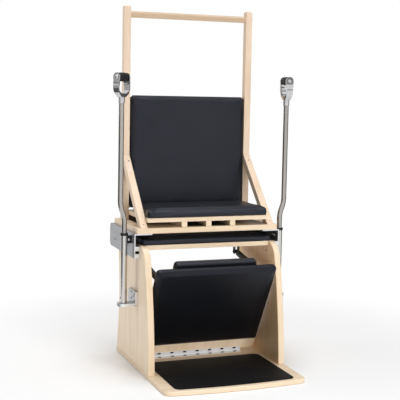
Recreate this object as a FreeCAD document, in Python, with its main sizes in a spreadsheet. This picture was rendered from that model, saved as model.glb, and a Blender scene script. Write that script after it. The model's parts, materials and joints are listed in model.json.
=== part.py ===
import FreeCAD, Part
import math
import os
import types

import Sketcher

# A pilates chair with a sprung pedal, a lift-off high back and two hand poles.
# Millimetres. +X is the right of someone who faces the chair, +Y its back, +Z up.
# The origin lies on the floor, half way between the base's front and the rails' rear ends.

SIZES = {
    # base board and its mat
    "overall_width": 600.0,
    "base_thick": 18.0,
    "base_front": 357.0,
    "base_bow": 18.0,
    "base_rear": 339.0,
    "base_corner": 35.0,
    "base_rear_corner": 12.0,
    "wood_round": 3.0,
    "mat_side_gap": 19.5,
    "mat_thick": 4.0,
    "mat_margin": 14.0,
    "mat_rear": 28.0,
    "mat_corner": 25.0,
    # side panels: a front edge of two arcs that meet at the knee, and a hollow rear edge
    "panel_thick": 27.0,
    "panel_front": 146.0,
    "panel_rear": 328.0,
    "panel_rear_bow": 34.0,
    "knee_set_back": 66.0,
    "knee_height": 462.0,
    "shin_bow": 11.3,
    "thigh_bow": 13.2,
    # seat
    "seat_top": 524.0,
    "seat_thick": 19.0,
    "seat_front": 15.0,
    "seat_cushion_inset": 4.0,
    "seat_cushion_rear_gap": 9.0,
    "seat_cushion_thick": 28.0,
    "seat_cushion_crown": 4.0,
    "cushion_tuck": 6.0,
    "cushion_end": 22.0,
    "soft_gap": 0.3,
    # side rails, an extruded section
    "rail_stand_off": 24.0,
    "rail_rise": 48.0,
    "rail_height": 100.0,
    "rail_web": 4.0,
    "rail_flange_width": 76.0,
    "rail_flange_thick": 5.0,
    "rail_box_height": 48.0,
    "rail_box_wall": 3.5,
    "rail_hollow_height": 12.0,
    "rail_front": 10.0,
    "rail_rear": 367.0,
    "rail_corner": 20.0,
    "rail_bolt_front": 83.0,
    "rail_bolt_rear": 289.0,
    "rail_bolt_drop": 8.0,
    "rail_bolt_rear_drop": 13.5,
    "bolt_head": 14.0,
    "bolt_head_rise": 4.5,
    "bolt_shank": 8.0,
    "bolt_reach": 9.0,
    # pole sleeves, their clamps and lower brackets
    "sleeve_out": 51.6,
    "sleeve_back": 46.0,
    "sleeve_wall": 2.45,
    "sleeve_drop": 12.0,
    "clamp_width": 16.0,
    "clamp_rise": 32.0,
    "clamp_hug": 6.0,
    "bracket_front": 14.0,
    "bracket_rear": 112.0,
    "bracket_plate": 11.0,
    "bracket_rise": 50.0,
    "bracket_round": 8.0,
    "tongue_top": 279.0,
    "tongue_thick": 12.0,
    "tongue_half": 27.0,
    # poles and their turning collars
    "pole_outer": 22.0,
    "pole_wall": 2.0,
    "run_gap": 0.05,
    "part_gap": 0.3,
    "collar_outer": 32.0,
    "collar_rise": 10.0,
    "pole_foot_rise": 51.0,
    "bend_start_rise": 52.0,
    "bend_rise": 91.0,
    "bend_out": 18.0,
    "pole_top": 1117.0,
    # hand forks with spinning grips
    "fork_gap": 54.0,
    "fork_strap": 5.0,
    "fork_foot": 10.0,
    "fork_foot_width": 26.0,
    "fork_ear": 18.0,
    "fork_bend": 22.0,
    "fork_floor": 14.0,
    "fork_straight": 40.0,
    "fork_axis_rise": 81.0,
    "fork_collar_outer": 26.0,
    "fork_collar_drop": 24.0,
    "left_fork_turn": 32.0,
    "right_fork_turn": 88.0,
    "grip_outer": 34.0,
    "grip_end_gap": 0.4,
    "grip_round": 7.0,
    "grip_swell": 1.2,
    "grip_bolt": 8.0,
    "grip_bolt_head": 17.0,
    "grip_bolt_rise": 5.0,
    "grip_nut": 14.0,
    "grip_nut_rise": 5.0,
    # pedal and its long hinge
    "hinge_back": 106.0,
    "hinge_length": 406.4,
    "hinge_barrel": 8.0,
    "hinge_pin": 4.0,
    "hinge_leaf": 1.6,
    "hinge_leaf_reach": 18.0,
    "hinge_segments": 16.0,
    "pedal_lean": 30.0,
    "pedal_side_gap": 8.0,
    "pedal_start": 6.0,
    "pedal_end": 478.0,
    "pedal_thick": 18.0,
    "pedal_corner": 20.0,
    "pedal_wrap": 2.5,
    "pedal_pad_start": 64.0,
    "pedal_pad_thick": 12.0,
    "pedal_pad_round": 5.0,
    "pedal_pad_corner": 8.0,
    "step_width": 368.0,
    "step_over": 13.0,
    "step_depth": 66.0,
    "step_thick": 41.0,
    "step_crown": 3.0,
    # springs between the hangers under the seat and the pedal
    "spring_set_in": 40.0,
    "hanger_inset": 86.0,
    "hanger_depth": 22.0,
    "hanger_gap": 15.0,
    "hanger_plate": 4.0,
    "hanger_rise": 78.0,
    "hanger_flange": 46.0,
    "hanger_peg_rise": 11.0,
    "peg_thick": 8.0,
    "peg_past_spring": 8.0,
    "peg_cap": 13.0,
    "peg_cap_thick": 3.0,
    "eye_inset": 80.0,
    "eye_rise": 18.0,
    "eye_cheek": 4.0,
    "eye_half": 13.0,
    "eye_flange": 3.0,
    "ring_outer": 17.0,
    "ring_thick": 5.0,
    "stem_thick": 6.0,
    "plug_start": 22.0,
    "plug_length": 28.0,
    "spring_outer": 26.0,
    "wire": 4.0,
    "spring_turns": 20.0,
    # lift-off back unit
    "lower_board_overhang": 13.0,
    "lower_board_front": 13.0,
    "lower_board_rear": 337.0,
    "lower_board_thick": 23.0,
    "joist_rise": 22.0,
    "joist_width": 24.0,
    "joist_spacing": 108.0,
    "batten_thick": 20.0,
    "upper_board_front": 8.0,
    "upper_board_thick": 18.0,
    "upper_cushion_side_gap": 3.0,
    "upper_cushion_front": 16.0,
    "upper_cushion_rear_gap": 8.0,
    "upper_cushion_thick": 36.0,
    "upper_cushion_crown": 4.0,
    "upper_cushion_flare": 9.0,
    "post_inset": 2.0,
    "post_size": 30.0,
    "post_set_in": 39.0,
    "post_rise": 923.0,
    "post_round": 8.0,
    "dowel_thick": 28.0,
    "dowel_drop": 37.0,
    "brace_inset": 2.0,
    "brace_width": 42.0,
    "brace_rise": 285.0,
    "back_board_thick": 12.0,
    "back_board_drop": 8.0,
    "back_cushion_thick": 30.0,
    "back_cushion_round": 9.0,
    "back_cushion_corner": 10.0,
    "back_cushion_lift": 10.0,
    "back_cushion_rise": 491.0,
    "back_cushion_side_gap": 2.0,
}

doc = FreeCAD.newDocument("pilates_chair")
sheet = doc.addObject("Spreadsheet::Sheet", "sizes")
for row, (name, number) in enumerate(SIZES.items(), start=1):
    sheet.set(f"A{row}", name)
    sheet.set(f"B{row}", str(number))
    sheet.setAlias(f"B{row}", name)
doc.recompute()

nodes = []
SIDES = ((-1, "left"), (1, "right"))
X_AXIS = FreeCAD.Vector(1, 0, 0)
Y_AXIS = FreeCAD.Vector(0, 1, 0)
Z_AXIS = FreeCAD.Vector(0, 0, 1)


class Size:
    """A number that remembers the sheet formula it comes from."""

    def __init__(self, number, formula):
        self.number = float(number)
        self.formula = formula

    def __add__(self, other):
        other = as_size(other)
        return Size(self.number + other.number, f"({self.formula} + {other.formula})")

    def __sub__(self, other):
        other = as_size(other)
        return Size(self.number - other.number, f"({self.formula} - {other.formula})")

    def __mul__(self, other):
        other = as_size(other)
        return Size(self.number * other.number, f"({self.formula} * {other.formula})")

    def __truediv__(self, other):
        other = as_size(other)
        return Size(self.number / other.number, f"({self.formula} / {other.formula})")

    def __rsub__(self, other):
        return as_size(other) - self

    def __neg__(self):
        return as_size(0) - self

    __radd__ = __add__
    __rmul__ = __mul__


def as_size(value):
    """A plain number as a size; a size stays as it is."""
    if isinstance(value, Size):
        return value
    return Size(value, f"({float(value)})")


def sine(angle):
    return Size(math.sin(math.radians(angle.number)), f"sin({angle.formula} * 1 deg)")


def cosine(angle):
    return Size(math.cos(math.radians(angle.number)), f"cos({angle.formula} * 1 deg)")


def slope(rise, run):
    """The angle, in degrees, of a line that climbs rise over run."""
    number = math.degrees(math.atan2(rise.number, run.number))
    return Size(number, f"(atan2({rise.formula}; {run.formula}) / 1 deg)")


def bow_radius(run, rise, bow):
    """The radius of the arc whose chord covers run and rise and which bows out by bow."""
    return (run * run + rise * rise) / (8 * bow) + bow / 2


s = types.SimpleNamespace(**{name: Size(sheet.get(name), f"sizes.{name}") for name in SIZES})


def bind(target, prop, value):
    target.setExpression(prop, as_size(value).formula)


def place(target, x=0, y=0, z=0, axis=None, angle=0):
    """Put an object at x, y, z, turned about one axis, with every value tied to the sheet."""
    base = [as_size(value) for value in (x, y, z)]
    turn = FreeCAD.Rotation(axis or Z_AXIS, as_size(angle).number)
    target.Placement = FreeCAD.Placement(FreeCAD.Vector(*[value.number for value in base]), turn)
    for letter, value in zip("xyz", base):
        bind(target, f"Placement.Base.{letter}", value)
    if axis is not None:
        bind(target, "Placement.Rotation.Angle", angle)


def new_body(label, x=0, y=0, z=0, axis=None, angle=0, kept=True):
    body = doc.addObject("PartDesign::Body", label)
    body.Label = label
    place(body, x, y, z, axis, angle)
    if kept:
        nodes.append(body)
    return body


def new_sketch(body, role, offset=0):
    """A sketch on one of the body's origin planes, moved along the plane's normal by offset."""
    sketch = body.newObject("Sketcher::SketchObject", "outline")
    plane = next(item for item in body.Origin.OriginFeatures if item.Role == role)
    sketch.AttachmentSupport = [(plane, "")]
    sketch.MapMode = "FlatFace"
    bind(sketch, "AttachmentOffset.Base.z", offset)
    return sketch


def limit(sketch, kind, *what):
    """Add a constraint whose last item is its value, and tie that value to the sheet."""
    value = as_size(what[-1])
    index = sketch.addConstraint(Sketcher.Constraint(kind, *what[:-1], value.number))
    bind(sketch, f"Constraints[{index}]", value)


def arc_between(start, end, radius):
    """The shorter arc between two points; it bows to the right of the way where radius is over 0."""
    chord = end - start
    left = FreeCAD.Vector(-chord.y, chord.x, 0).normalize()
    height = math.sqrt(max(radius * radius - chord.Length ** 2 / 4, 0))
    centre = (start + end) * 0.5 + left * math.copysign(height, radius)
    first, last = (start, end) if radius > 0 else (end, start)
    angles = [math.atan2(point.y - centre.y, point.x - centre.x) for point in (first, last)]
    return Part.ArcOfCircle(Part.Circle(centre, Z_AXIS, abs(radius)), *angles)


def draw(sketch, path, closed=True):
    """Draw an outline. Each corner is x, y and, where an arc leaves it, that arc's radius."""
    corners = [(as_size(item[0]), as_size(item[1])) for item in path]
    points = [FreeCAD.Vector(x.number, y.number, 0) for x, y in corners]
    edges = []
    for index in range(len(path) if closed else len(path) - 1):
        start, end = points[index], points[(index + 1) % len(path)]
        if len(path[index]) == 2:
            edges.append((sketch.addGeometry(Part.LineSegment(start, end)), 1, 2))
            continue
        radius = as_size(path[index][2])
        forward = radius.number > 0
        edge = sketch.addGeometry(arc_between(start, end, radius.number))
        limit(sketch, "Radius", edge, radius if forward else -radius)
        edges.append((edge, 1, 2) if forward else (edge, 2, 1))
    for index, (edge, first, last) in enumerate(edges):
        limit(sketch, "DistanceX", -1, 1, edge, first, corners[index][0])
        limit(sketch, "DistanceY", -1, 1, edge, first, corners[index][1])
        if closed or index + 1 < len(edges):
            following = edges[(index + 1) % len(edges)]
            sketch.addConstraint(Sketcher.Constraint("Coincident", edge, last, following[0], following[1]))
    if not closed:
        edge, first, last = edges[-1]
        limit(sketch, "DistanceX", -1, 1, edge, last, corners[-1][0])
        limit(sketch, "DistanceY", -1, 1, edge, last, corners[-1][1])
    return sketch


def draw_circle(sketch, x, y, radius):
    x, y, radius = as_size(x), as_size(y), as_size(radius)
    centre = FreeCAD.Vector(x.number, y.number, 0)
    edge = sketch.addGeometry(Part.Circle(centre, Z_AXIS, radius.number))
    limit(sketch, "DistanceX", -1, 1, edge, 3, x)
    limit(sketch, "DistanceY", -1, 1, edge, 3, y)
    limit(sketch, "Radius", edge, radius)
    return sketch


def rectangle(left, bottom, right, top):
    return [(left, bottom), (right, bottom), (right, top), (left, top)]


def rounded(left, bottom, right, top, low, high):
    """A rectangle whose two low and two high corners have their own radii."""
    return [
        (left + low, bottom), (right - low, bottom, low),
        (right, bottom + low), (right, top - high, high),
        (right - high, top), (left + high, top, high),
        (left, top - high), (left, bottom + low, low),
    ]


def bowed(half, front, rear, bow):
    """A rectangle whose front edge bows forward."""
    return [(-half, front, bow), (half, front), (half, rear), (-half, rear)]


def pad(body, sketch, length, back=False, both=False):
    feature = body.newObject("PartDesign::Pad", "pad")
    feature.Profile = sketch
    bind(feature, "Length", length)
    feature.Reversed = back
    feature.SideType = "Symmetric" if both else "One side"
    return feature


def pocket(body, sketch, length, back=False, both=False):
    """Cut a profile out of a body; the cut has to take material away."""
    doc.recompute()
    before = body.Shape.Volume
    feature = body.newObject("PartDesign::Pocket", "pocket")
    feature.Profile = sketch
    bind(feature, "Length", length)
    feature.Reversed = back
    feature.SideType = "Symmetric" if both else "One side"
    doc.recompute()
    if body.Shape.Volume >= before:
        raise RuntimeError(f"a cut in {body.Label} takes nothing away")
    return feature


def spin(body, sketch):
    """Turn a half profile about the sketch's own horizontal axis."""
    feature = body.newObject("PartDesign::Revolution", "turned")
    feature.Profile = sketch
    feature.ReferenceAxis = (sketch, ["H_Axis"])
    return feature


def round_edges(body, radius, pick):
    """Round the edges of a body that pick chooses."""
    doc.recompute()
    base = body.Tip
    names = [f"Edge{number}" for number, edge in enumerate(base.Shape.Edges, start=1) if pick(edge)]
    feature = body.newObject("PartDesign::Fillet", "rounding")
    feature.Base = (base, names)
    bind(feature, "Radius", radius)


def runs_along(edge, axis):
    ends = [vertex.Point for vertex in edge.Vertexes]
    return len(ends) == 2 and abs((ends[1] - ends[0]).normalize().dot(axis)) > 0.999


def is_flat(edge, axis):
    """True where an edge lies in one plane square to the axis."""
    box = edge.BoundBox
    return (box.XLength, box.YLength, box.ZLength)[[abs(v) for v in axis].index(1.0)] < 0.001


def cushion(label, half, start, depth, thick, crown, tuck, seat=0, side=1, flare=0, places=()):
    """A padded block: its sides swell out, its top is crowned and its two ends are drawn in.

    It lies on the plane z = seat of its own frame and grows to the side where side points.
    Its first end is wider by flare on both sides.
    """
    body = new_body(label, *places)
    end = s.cushion_end
    rear = start + depth
    steps = (
        (start, tuck * 2 - flare, thick * 0.55, crown / 4),
        (start + end * 0.3, tuck * 1.3 - flare, thick * 0.85, crown / 3),
        (start + end, tuck - flare * 0.8, thick, crown / 2),
        (start + end * 1.8, tuck, thick, crown * 0.7),
        (start + depth / 2, tuck, thick, crown),
        (rear - end, tuck, thick, crown / 2),
        (rear - end * 0.3, tuck * 1.3, thick * 0.85, crown / 3),
        (rear, tuck * 2, thick * 0.55, crown / 4),
    )
    sections = []
    for along, inset, rise, bow in steps:
        swell = bow_radius(0 * rise, rise, tuck * 0.6) * side
        top = seat + rise * side
        edge = half - inset
        path = [
            (-edge, seat), (edge, seat, swell),
            (edge, top, bow_radius(edge * 2, 0 * rise, bow) * side), (-edge, top, swell),
        ]
        sections.append(draw(new_sketch(body, "XZ_Plane", -along), path))
    loft = body.newObject("PartDesign::AdditiveLoft", "padding")
    loft.Profile = sections[0]
    loft.Sections = sections[1:]
    loft.Ruled = True


def flat_pad(label, outline, seat, thick, edge, places, hollow=None, depth=0):
    """A flat pad with rounded front edges; a board of its own depth fills its hollow back."""
    body = new_body(label, *places)
    pad(body, draw(new_sketch(body, "XY_Plane", seat - depth), outline), thick + depth)
    front = (seat + thick).number - 0.01
    round_edges(body, edge, lambda item: item.BoundBox.ZMin > front)
    if hollow:
        pocket(body, draw(new_sketch(body, "XY_Plane", seat - depth), hollow), depth, back=True)


def copies(label, master, places):
    """One node of equal pieces: a link to the master at each place."""
    links = []
    for number, (x, y, z, axis, angle) in enumerate(places, start=1):
        link = doc.addObject("App::Link", f"{label}_{number}")
        link.LinkedObject = master
        place(link, x, y, z, axis, angle)
        links.append(link)
    group = doc.addObject("Part::Compound", label)
    group.Label = label
    group.Links = links
    nodes.append(group)


half_width = s.overall_width / 2
panel_inner = half_width - s.panel_thick
rail_outer = half_width + s.rail_stand_off
rail_top = s.seat_top + s.rail_rise
rail_bottom = rail_top - s.rail_height
flange_under = rail_top - s.rail_flange_thick
box_top = rail_bottom + s.rail_box_height
clamp_height = (flange_under + box_top) / 2
sleeve_x = half_width + s.sleeve_out
sleeve_top = rail_top - s.sleeve_drop
pole_hole = s.pole_outer / 2 + s.run_gap
sleeve_radius = pole_hole + s.sleeve_wall
grip_hole = s.grip_bolt / 2 + s.run_gap
pin_height = s.base_thick + s.hinge_barrel / 2
pedal_face = -s.hinge_barrel / 2
pedal_back = pedal_face - s.pedal_thick
pedal_half = panel_inner - s.pedal_side_gap
eye_along = s.pedal_end - s.eye_inset
hanger_back = s.panel_rear - s.hanger_inset
spring_x = panel_inner - s.spring_set_in
seat_under = s.seat_top - s.seat_thick
hanger_foot = seat_under - s.hanger_rise
peg_height = hanger_foot + s.hanger_peg_rise
lower_top = rail_top + s.lower_board_thick
joist_top = lower_top + s.joist_rise
upper_top = joist_top + s.upper_board_thick
post_inner = half_width - s.post_inset - s.post_size
post_rear = s.lower_board_rear - s.post_set_in
post_front = post_rear - s.post_size


def make_base():
    """The base board, bowed at the front, and the thin mat on it."""
    body = new_body("base_board")
    front = -s.base_front
    bow = bow_radius(s.overall_width, as_size(0), s.base_bow)
    outline = bowed(half_width, front, s.base_rear, bow)
    pad(body, draw(new_sketch(body, "XY_Plane"), outline), s.base_thick)
    round_edges(body, s.base_corner, lambda edge: runs_along(edge, Z_AXIS) and edge.BoundBox.YMin < 0)
    round_edges(body, s.base_rear_corner,
                lambda edge: runs_along(edge, Z_AXIS) and edge.BoundBox.YMin > s.base_rear.number - 0.1)
    round_edges(body, s.wood_round, lambda edge: is_flat(edge, Z_AXIS))
    mat = new_body("base_mat", z=s.base_thick)
    outline = bowed(panel_inner - s.mat_side_gap, front + s.mat_margin, s.mat_rear, bow)
    pad(mat, draw(new_sketch(mat, "XY_Plane"), outline), s.mat_thick)
    round_edges(mat, s.mat_corner, lambda edge: runs_along(edge, Z_AXIS))


def make_side_panels():
    """Two panels, curved back towards the seat in front and hollowed at the rear."""
    shin_run, shin_rise = s.knee_set_back, s.knee_height - s.base_thick
    knee_y = s.knee_set_back - s.panel_front
    thigh_run, thigh_rise = -s.seat_front - knee_y, s.seat_top - s.knee_height
    shin = bow_radius(shin_run, shin_rise, s.shin_bow)
    thigh = bow_radius(thigh_run, thigh_rise, s.thigh_bow)
    rear = bow_radius(as_size(0), s.seat_top - s.base_thick, s.panel_rear_bow)
    path = [
        (-s.panel_front, s.base_thick), (s.panel_rear, s.base_thick, -rear), (s.panel_rear, s.seat_top),
        (-s.seat_front, s.seat_top, thigh), (knee_y, s.knee_height, shin),
    ]
    for side, name in SIDES:
        body = new_body(f"{name}_side_panel", x=-half_width if side < 0 else panel_inner)
        pad(body, draw(new_sketch(body, "YZ_Plane"), path), s.panel_thick)


def make_seat():
    """The seat board between the panels, and the low cushion that covers it and the panels' tops."""
    body = new_body("seat_board", z=seat_under)
    outline = rectangle(-panel_inner, -s.seat_front, panel_inner, s.panel_rear)
    pad(body, draw(new_sketch(body, "XY_Plane"), outline), s.seat_thick)
    depth = s.seat_front + s.panel_rear - s.seat_cushion_rear_gap
    cushion("seat_cushion", half_width - s.seat_cushion_inset, -s.seat_front, depth, s.seat_cushion_thick,
            s.seat_cushion_crown, s.cushion_tuck, places=(0, 0, s.seat_top + s.soft_gap))


def turned_bolt(label, head, rise, shank, reach):
    """A bolt along +X with a domed head behind x = 0."""
    body = new_body(label, kept=False)
    head_half, shank_half = head / 2, shank / 2
    dome = (rise * rise + head_half * head_half) / (2 * rise)
    path = [(-rise, 0), (reach, 0), (reach, shank_half), (0, shank_half), (0, head_half, dome)]
    spin(body, draw(new_sketch(body, "XZ_Plane"), path))
    return body


def make_rails():
    """A rail on each panel: a hollow foot, a web and a flange that carries the back unit."""
    bolt_places = (
        (s.rail_bolt_front, box_top - s.rail_bolt_drop), (s.rail_bolt_rear, box_top - s.rail_bolt_rear_drop),
    )
    hole = s.bolt_shank / 2 + s.run_gap
    hollow_low = rail_bottom + (s.rail_box_height - s.rail_hollow_height) / 2
    hollow = rectangle(half_width + s.rail_box_wall, hollow_low,
                       rail_outer - s.rail_box_wall, hollow_low + s.rail_hollow_height)
    flange_edge = rail_outer - s.rail_flange_width
    inner, corner, rear = rail_outer - s.rail_web, s.rail_corner, s.rail_front + s.rail_rear
    section = [
        (half_width, rail_bottom), (rail_outer, rail_bottom), (rail_outer, rail_top),
        (flange_edge, rail_top), (flange_edge, flange_under), (inner, flange_under),
        (inner, box_top), (half_width, box_top),
    ]
    bolts = []
    for side, name in SIDES:
        body = new_body(f"{name}_rail", y=-s.rail_front)
        sketch = new_sketch(body, "XZ_Plane")
        draw(sketch, [(x * side, z) for x, z in section])
        draw(sketch, [(x * side, z) for x, z in hollow])
        pad(body, sketch, rear, back=True)
        sketch = new_sketch(body, "YZ_Plane", rail_outer * side)
        for along, bolt_z in bolt_places:
            draw_circle(sketch, along + s.rail_front, bolt_z, hole)
            bolts.append((rail_outer * side, along, bolt_z, Z_AXIS, 180 if side > 0 else 0))
        draw_circle(sketch, s.sleeve_back + s.rail_front, clamp_height, hole)
        pocket(body, sketch, s.bolt_reach + s.part_gap, back=side < 0)
        for end, up in ((rail_top, 1), (rail_bottom, -1)):
            waste = [
                (rear - corner, end, -corner * up), (rear, end - corner * up),
                (rear + corner, end - corner * up), (rear + corner, end + corner * up),
                (rear - corner, end + corner * up),
            ]
            sketch = draw(new_sketch(body, "YZ_Plane", rail_outer * side), waste)
            pocket(body, sketch, s.rail_flange_width, back=side < 0)
    master = turned_bolt("rail_bolt", s.bolt_head, s.bolt_head_rise, s.bolt_shank, s.bolt_reach)
    copies("rail_bolts", master, bolts)
    places = []
    for side, name in SIDES:
        places.append((inner * side, s.sleeve_back, clamp_height, Z_AXIS, 0 if side > 0 else 180))
    reach = s.rail_web + s.bolt_reach
    master = turned_bolt("clamp_bolt", s.bolt_head, s.bolt_head_rise, s.bolt_shank, reach)
    copies("clamp_bolts", master, places)


def make_sleeves():
    """The fixed tubes that take the poles, each in a clamp on the rail and a bracket on the panel."""
    clamp_reach = s.sleeve_out - s.rail_stand_off - s.clamp_hug
    bolt_hole = s.bolt_shank / 2 + s.run_gap
    corner = s.bracket_round
    for side, name in SIDES:
        sleeve = new_body(f"{name}_sleeve", sleeve_x * side, s.sleeve_back, s.tongue_top)
        sketch = new_sketch(sleeve, "XY_Plane")
        draw_circle(sketch, 0, 0, sleeve_radius)
        draw_circle(sketch, 0, 0, pole_hole)
        pad(sleeve, sketch, sleeve_top - s.tongue_top)
        clamp = new_body(f"{name}_clamp", rail_outer * side, s.sleeve_back, clamp_height - s.clamp_rise / 2)
        sketch = new_sketch(clamp, "XY_Plane")
        half = s.clamp_width / 2
        draw(sketch, [(0, -half), (clamp_reach * side, -half), (clamp_reach * side, half), (0, half)])
        pad(clamp, sketch, s.clamp_rise)
        hollow = (s.sleeve_out - s.rail_stand_off) * side
        sketch = draw_circle(new_sketch(clamp, "XY_Plane"), hollow, 0, sleeve_radius)
        pocket(clamp, sketch, s.clamp_rise, back=True)
        sketch = draw_circle(new_sketch(clamp, "YZ_Plane"), 0, s.clamp_rise / 2, bolt_hole)
        pocket(clamp, sketch, s.bolt_reach + s.part_gap, back=side > 0)
        bracket = new_body(f"{name}_bracket", half_width * side, z=s.tongue_top)
        plate = rounded(s.bracket_front, -s.tongue_thick, s.bracket_rear, s.bracket_rise, corner, corner)
        pad(bracket, draw(new_sketch(bracket, "YZ_Plane"), plate), s.bracket_plate, back=side < 0)
        reach, half = s.sleeve_out * side, s.tongue_half
        tongue = [
            (0, s.sleeve_back - half), (reach, s.sleeve_back - half, half * side),
            ((s.sleeve_out + half) * side, s.sleeve_back, half * side),
            (reach, s.sleeve_back + half), (0, s.sleeve_back + half),
        ]
        pad(bracket, draw(new_sketch(bracket, "XY_Plane"), tongue), s.tongue_thick, back=True)


def make_poles():
    """Each pole slides in its collar, which turns on the sleeve; its upper run is bent outwards."""
    half_out, half_rise = s.bend_out / 2, s.bend_rise / 2
    bend = (half_out * half_out + half_rise * half_rise) / s.bend_out
    pole_foot, bend_start = s.tongue_top + s.pole_foot_rise, sleeve_top + s.bend_start_rise
    for side, name in SIDES:
        collar = new_body(f"{name}_collar", sleeve_x * side, s.sleeve_back, sleeve_top + s.part_gap)
        sketch = new_sketch(collar, "XY_Plane")
        draw_circle(sketch, 0, 0, s.collar_outer / 2)
        draw_circle(sketch, 0, 0, pole_hole)
        pad(collar, sketch, s.collar_rise)
        pole = new_body(f"{name}_pole", sleeve_x * side, s.sleeve_back)
        ring = new_sketch(pole, "XY_Plane", pole_foot)
        draw_circle(ring, 0, 0, s.pole_outer / 2)
        draw_circle(ring, 0, 0, s.pole_outer / 2 - s.pole_wall)
        path = [
            (0, pole_foot), (0, bend_start, -bend * side),
            (half_out * side, bend_start + half_rise, bend * side),
            (s.bend_out * side, bend_start + s.bend_rise), (s.bend_out * side, s.pole_top),
        ]
        route = draw(new_sketch(pole, "XZ_Plane"), path, closed=False)
        tube = pole.newObject("PartDesign::AdditivePipe", "tube")
        tube.Profile = ring
        tube.Spine = (route, [f"Edge{number}" for number in range(1, len(path))])


def make_hand_forks():
    """A forked handle swivels on each pole; a grip spins on the bolt between its ears."""
    width = s.fork_gap + s.fork_strap * 2
    foot, axis_rise, ear = s.fork_foot_width / 2, s.fork_axis_rise, s.fork_ear
    bottom = s.pole_top + s.fork_foot
    spade = [(-foot, 0), (foot, 0), (ear, axis_rise, ear), (0, axis_rise + ear, ear), (-ear, axis_rise)]
    half_gap, above = s.fork_gap / 2, axis_rise + ear * 2
    slot = rounded(-half_gap, s.fork_floor, half_gap, above, s.fork_bend, s.fork_bend)
    narrowing, straight = width / 2 - foot, s.fork_straight
    cup = (narrowing * narrowing + straight * straight) / (2 * narrowing)
    grip_half, grip_radius = half_gap - s.grip_end_gap, s.grip_outer / 2
    swell = bow_radius((grip_half - s.grip_round) * 2, as_size(0), s.grip_swell)
    barrel = [
        (-grip_half, grip_hole), (grip_half, grip_hole),
        (grip_half, grip_radius - s.grip_round, s.grip_round), (grip_half - s.grip_round, grip_radius, swell),
        (s.grip_round - grip_half, grip_radius, s.grip_round), (-grip_half, grip_radius - s.grip_round),
    ]
    head, shank, nut, half = s.grip_bolt_head / 2, s.grip_bolt / 2, s.grip_nut / 2, width / 2
    dome = (s.grip_bolt_rise * s.grip_bolt_rise + head * head) / (2 * s.grip_bolt_rise)
    nut_end = half + s.grip_nut_rise
    bolt_profile = [
        (-half - s.grip_bolt_rise, 0), (nut_end, 0), (nut_end, nut), (half, nut),
        (half, shank), (-half, shank), (-half, head, dome),
    ]
    for side, name in SIDES:
        turn = s.left_fork_turn if side < 0 else s.right_fork_turn
        pole_x = (sleeve_x + s.bend_out) * side
        fork = new_body(f"{name}_fork", pole_x, s.sleeve_back, bottom, Z_AXIS, turn)
        pad(fork, draw(new_sketch(fork, "YZ_Plane"), spade), width, both=True)
        for flank in (-1, 1):
            waste = [
                (foot * flank, 0, cup * flank), (width / 2 * flank, straight), (width * flank, straight),
                (width * flank, -straight), (foot * flank, -straight),
            ]
            pocket(fork, draw(new_sketch(fork, "XZ_Plane"), waste), ear * 4, both=True)
        pocket(fork, draw(new_sketch(fork, "XZ_Plane"), slot), ear * 4, both=True)
        pocket(fork, draw_circle(new_sketch(fork, "YZ_Plane"), 0, axis_rise, grip_hole), width * 2, both=True)
        collar = draw_circle(new_sketch(fork, "XY_Plane", -s.fork_collar_drop), 0, 0, s.fork_collar_outer / 2)
        pad(fork, collar, s.fork_collar_drop + s.fork_strap / 2)
        bore = draw_circle(new_sketch(fork, "XY_Plane", -s.fork_collar_drop), 0, 0, pole_hole)
        pocket(fork, bore, s.fork_collar_drop - s.fork_foot + s.part_gap, back=True)
        grip = new_body(f"{name}_grip", pole_x, s.sleeve_back, bottom + axis_rise, Z_AXIS, turn)
        spin(grip, draw(new_sketch(grip, "XZ_Plane"), barrel))
        bolt = new_body(f"{name}_grip_bolt", pole_x, s.sleeve_back, bottom + axis_rise, Z_AXIS, turn)
        spin(bolt, draw(new_sketch(bolt, "XZ_Plane"), bolt_profile))


def pedal_places():
    """The pedal's frame: y runs up the pedal from the hinge pin, z points out of its front face."""
    return (0, s.hinge_back, pin_height, X_AXIS, 90 + s.pedal_lean)


def make_hinge_leaf(label, places):
    """One leaf of the long hinge with every second barrel; the other leaf is the same, turned round."""
    body = new_body(label, *places)
    half, barrel = s.hinge_length / 2, s.hinge_barrel / 2
    segment = s.hinge_length / s.hinge_segments
    span = segment - s.part_gap
    count = int(s.hinge_segments.number) // 2
    leaf_low = -barrel
    leaf = rectangle(barrel + s.part_gap, leaf_low, s.hinge_leaf_reach, leaf_low + s.hinge_leaf)
    pad(body, draw(new_sketch(body, "YZ_Plane", -half), leaf), s.hinge_length)
    start = segment - half + s.part_gap / 2
    sketch = new_sketch(body, "YZ_Plane", start)
    hook = rectangle(as_size(0), leaf_low, barrel * 1.5, leaf_low + s.hinge_leaf)
    link = pad(body, draw(sketch, hook), span)
    ring = pad(body, draw_circle(new_sketch(body, "YZ_Plane", start), 0, 0, barrel), span)
    pattern = body.newObject("PartDesign::LinearPattern", "barrels")
    pattern.Originals = [link, ring]
    pattern.Direction = (sketch, ["N_Axis"])
    pattern.Occurrences = count
    bind(pattern, "Length", segment * 2 * (count - 1))
    body.Tip = pattern
    bore = draw_circle(new_sketch(body, "YZ_Plane"), 0, 0, s.hinge_pin / 2 + s.run_gap)
    pocket(body, bore, s.hinge_length * 1.1, both=True)


def under_cover(half, low, high, corner):
    """The part of the pedal's outline that its cover wraps, from the right foot to the left foot."""
    return [
        (half, low), (half, high - corner, corner), (half - corner, high),
        (corner - half, high, corner), (-half, high - corner), (-half, low),
    ]


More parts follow.
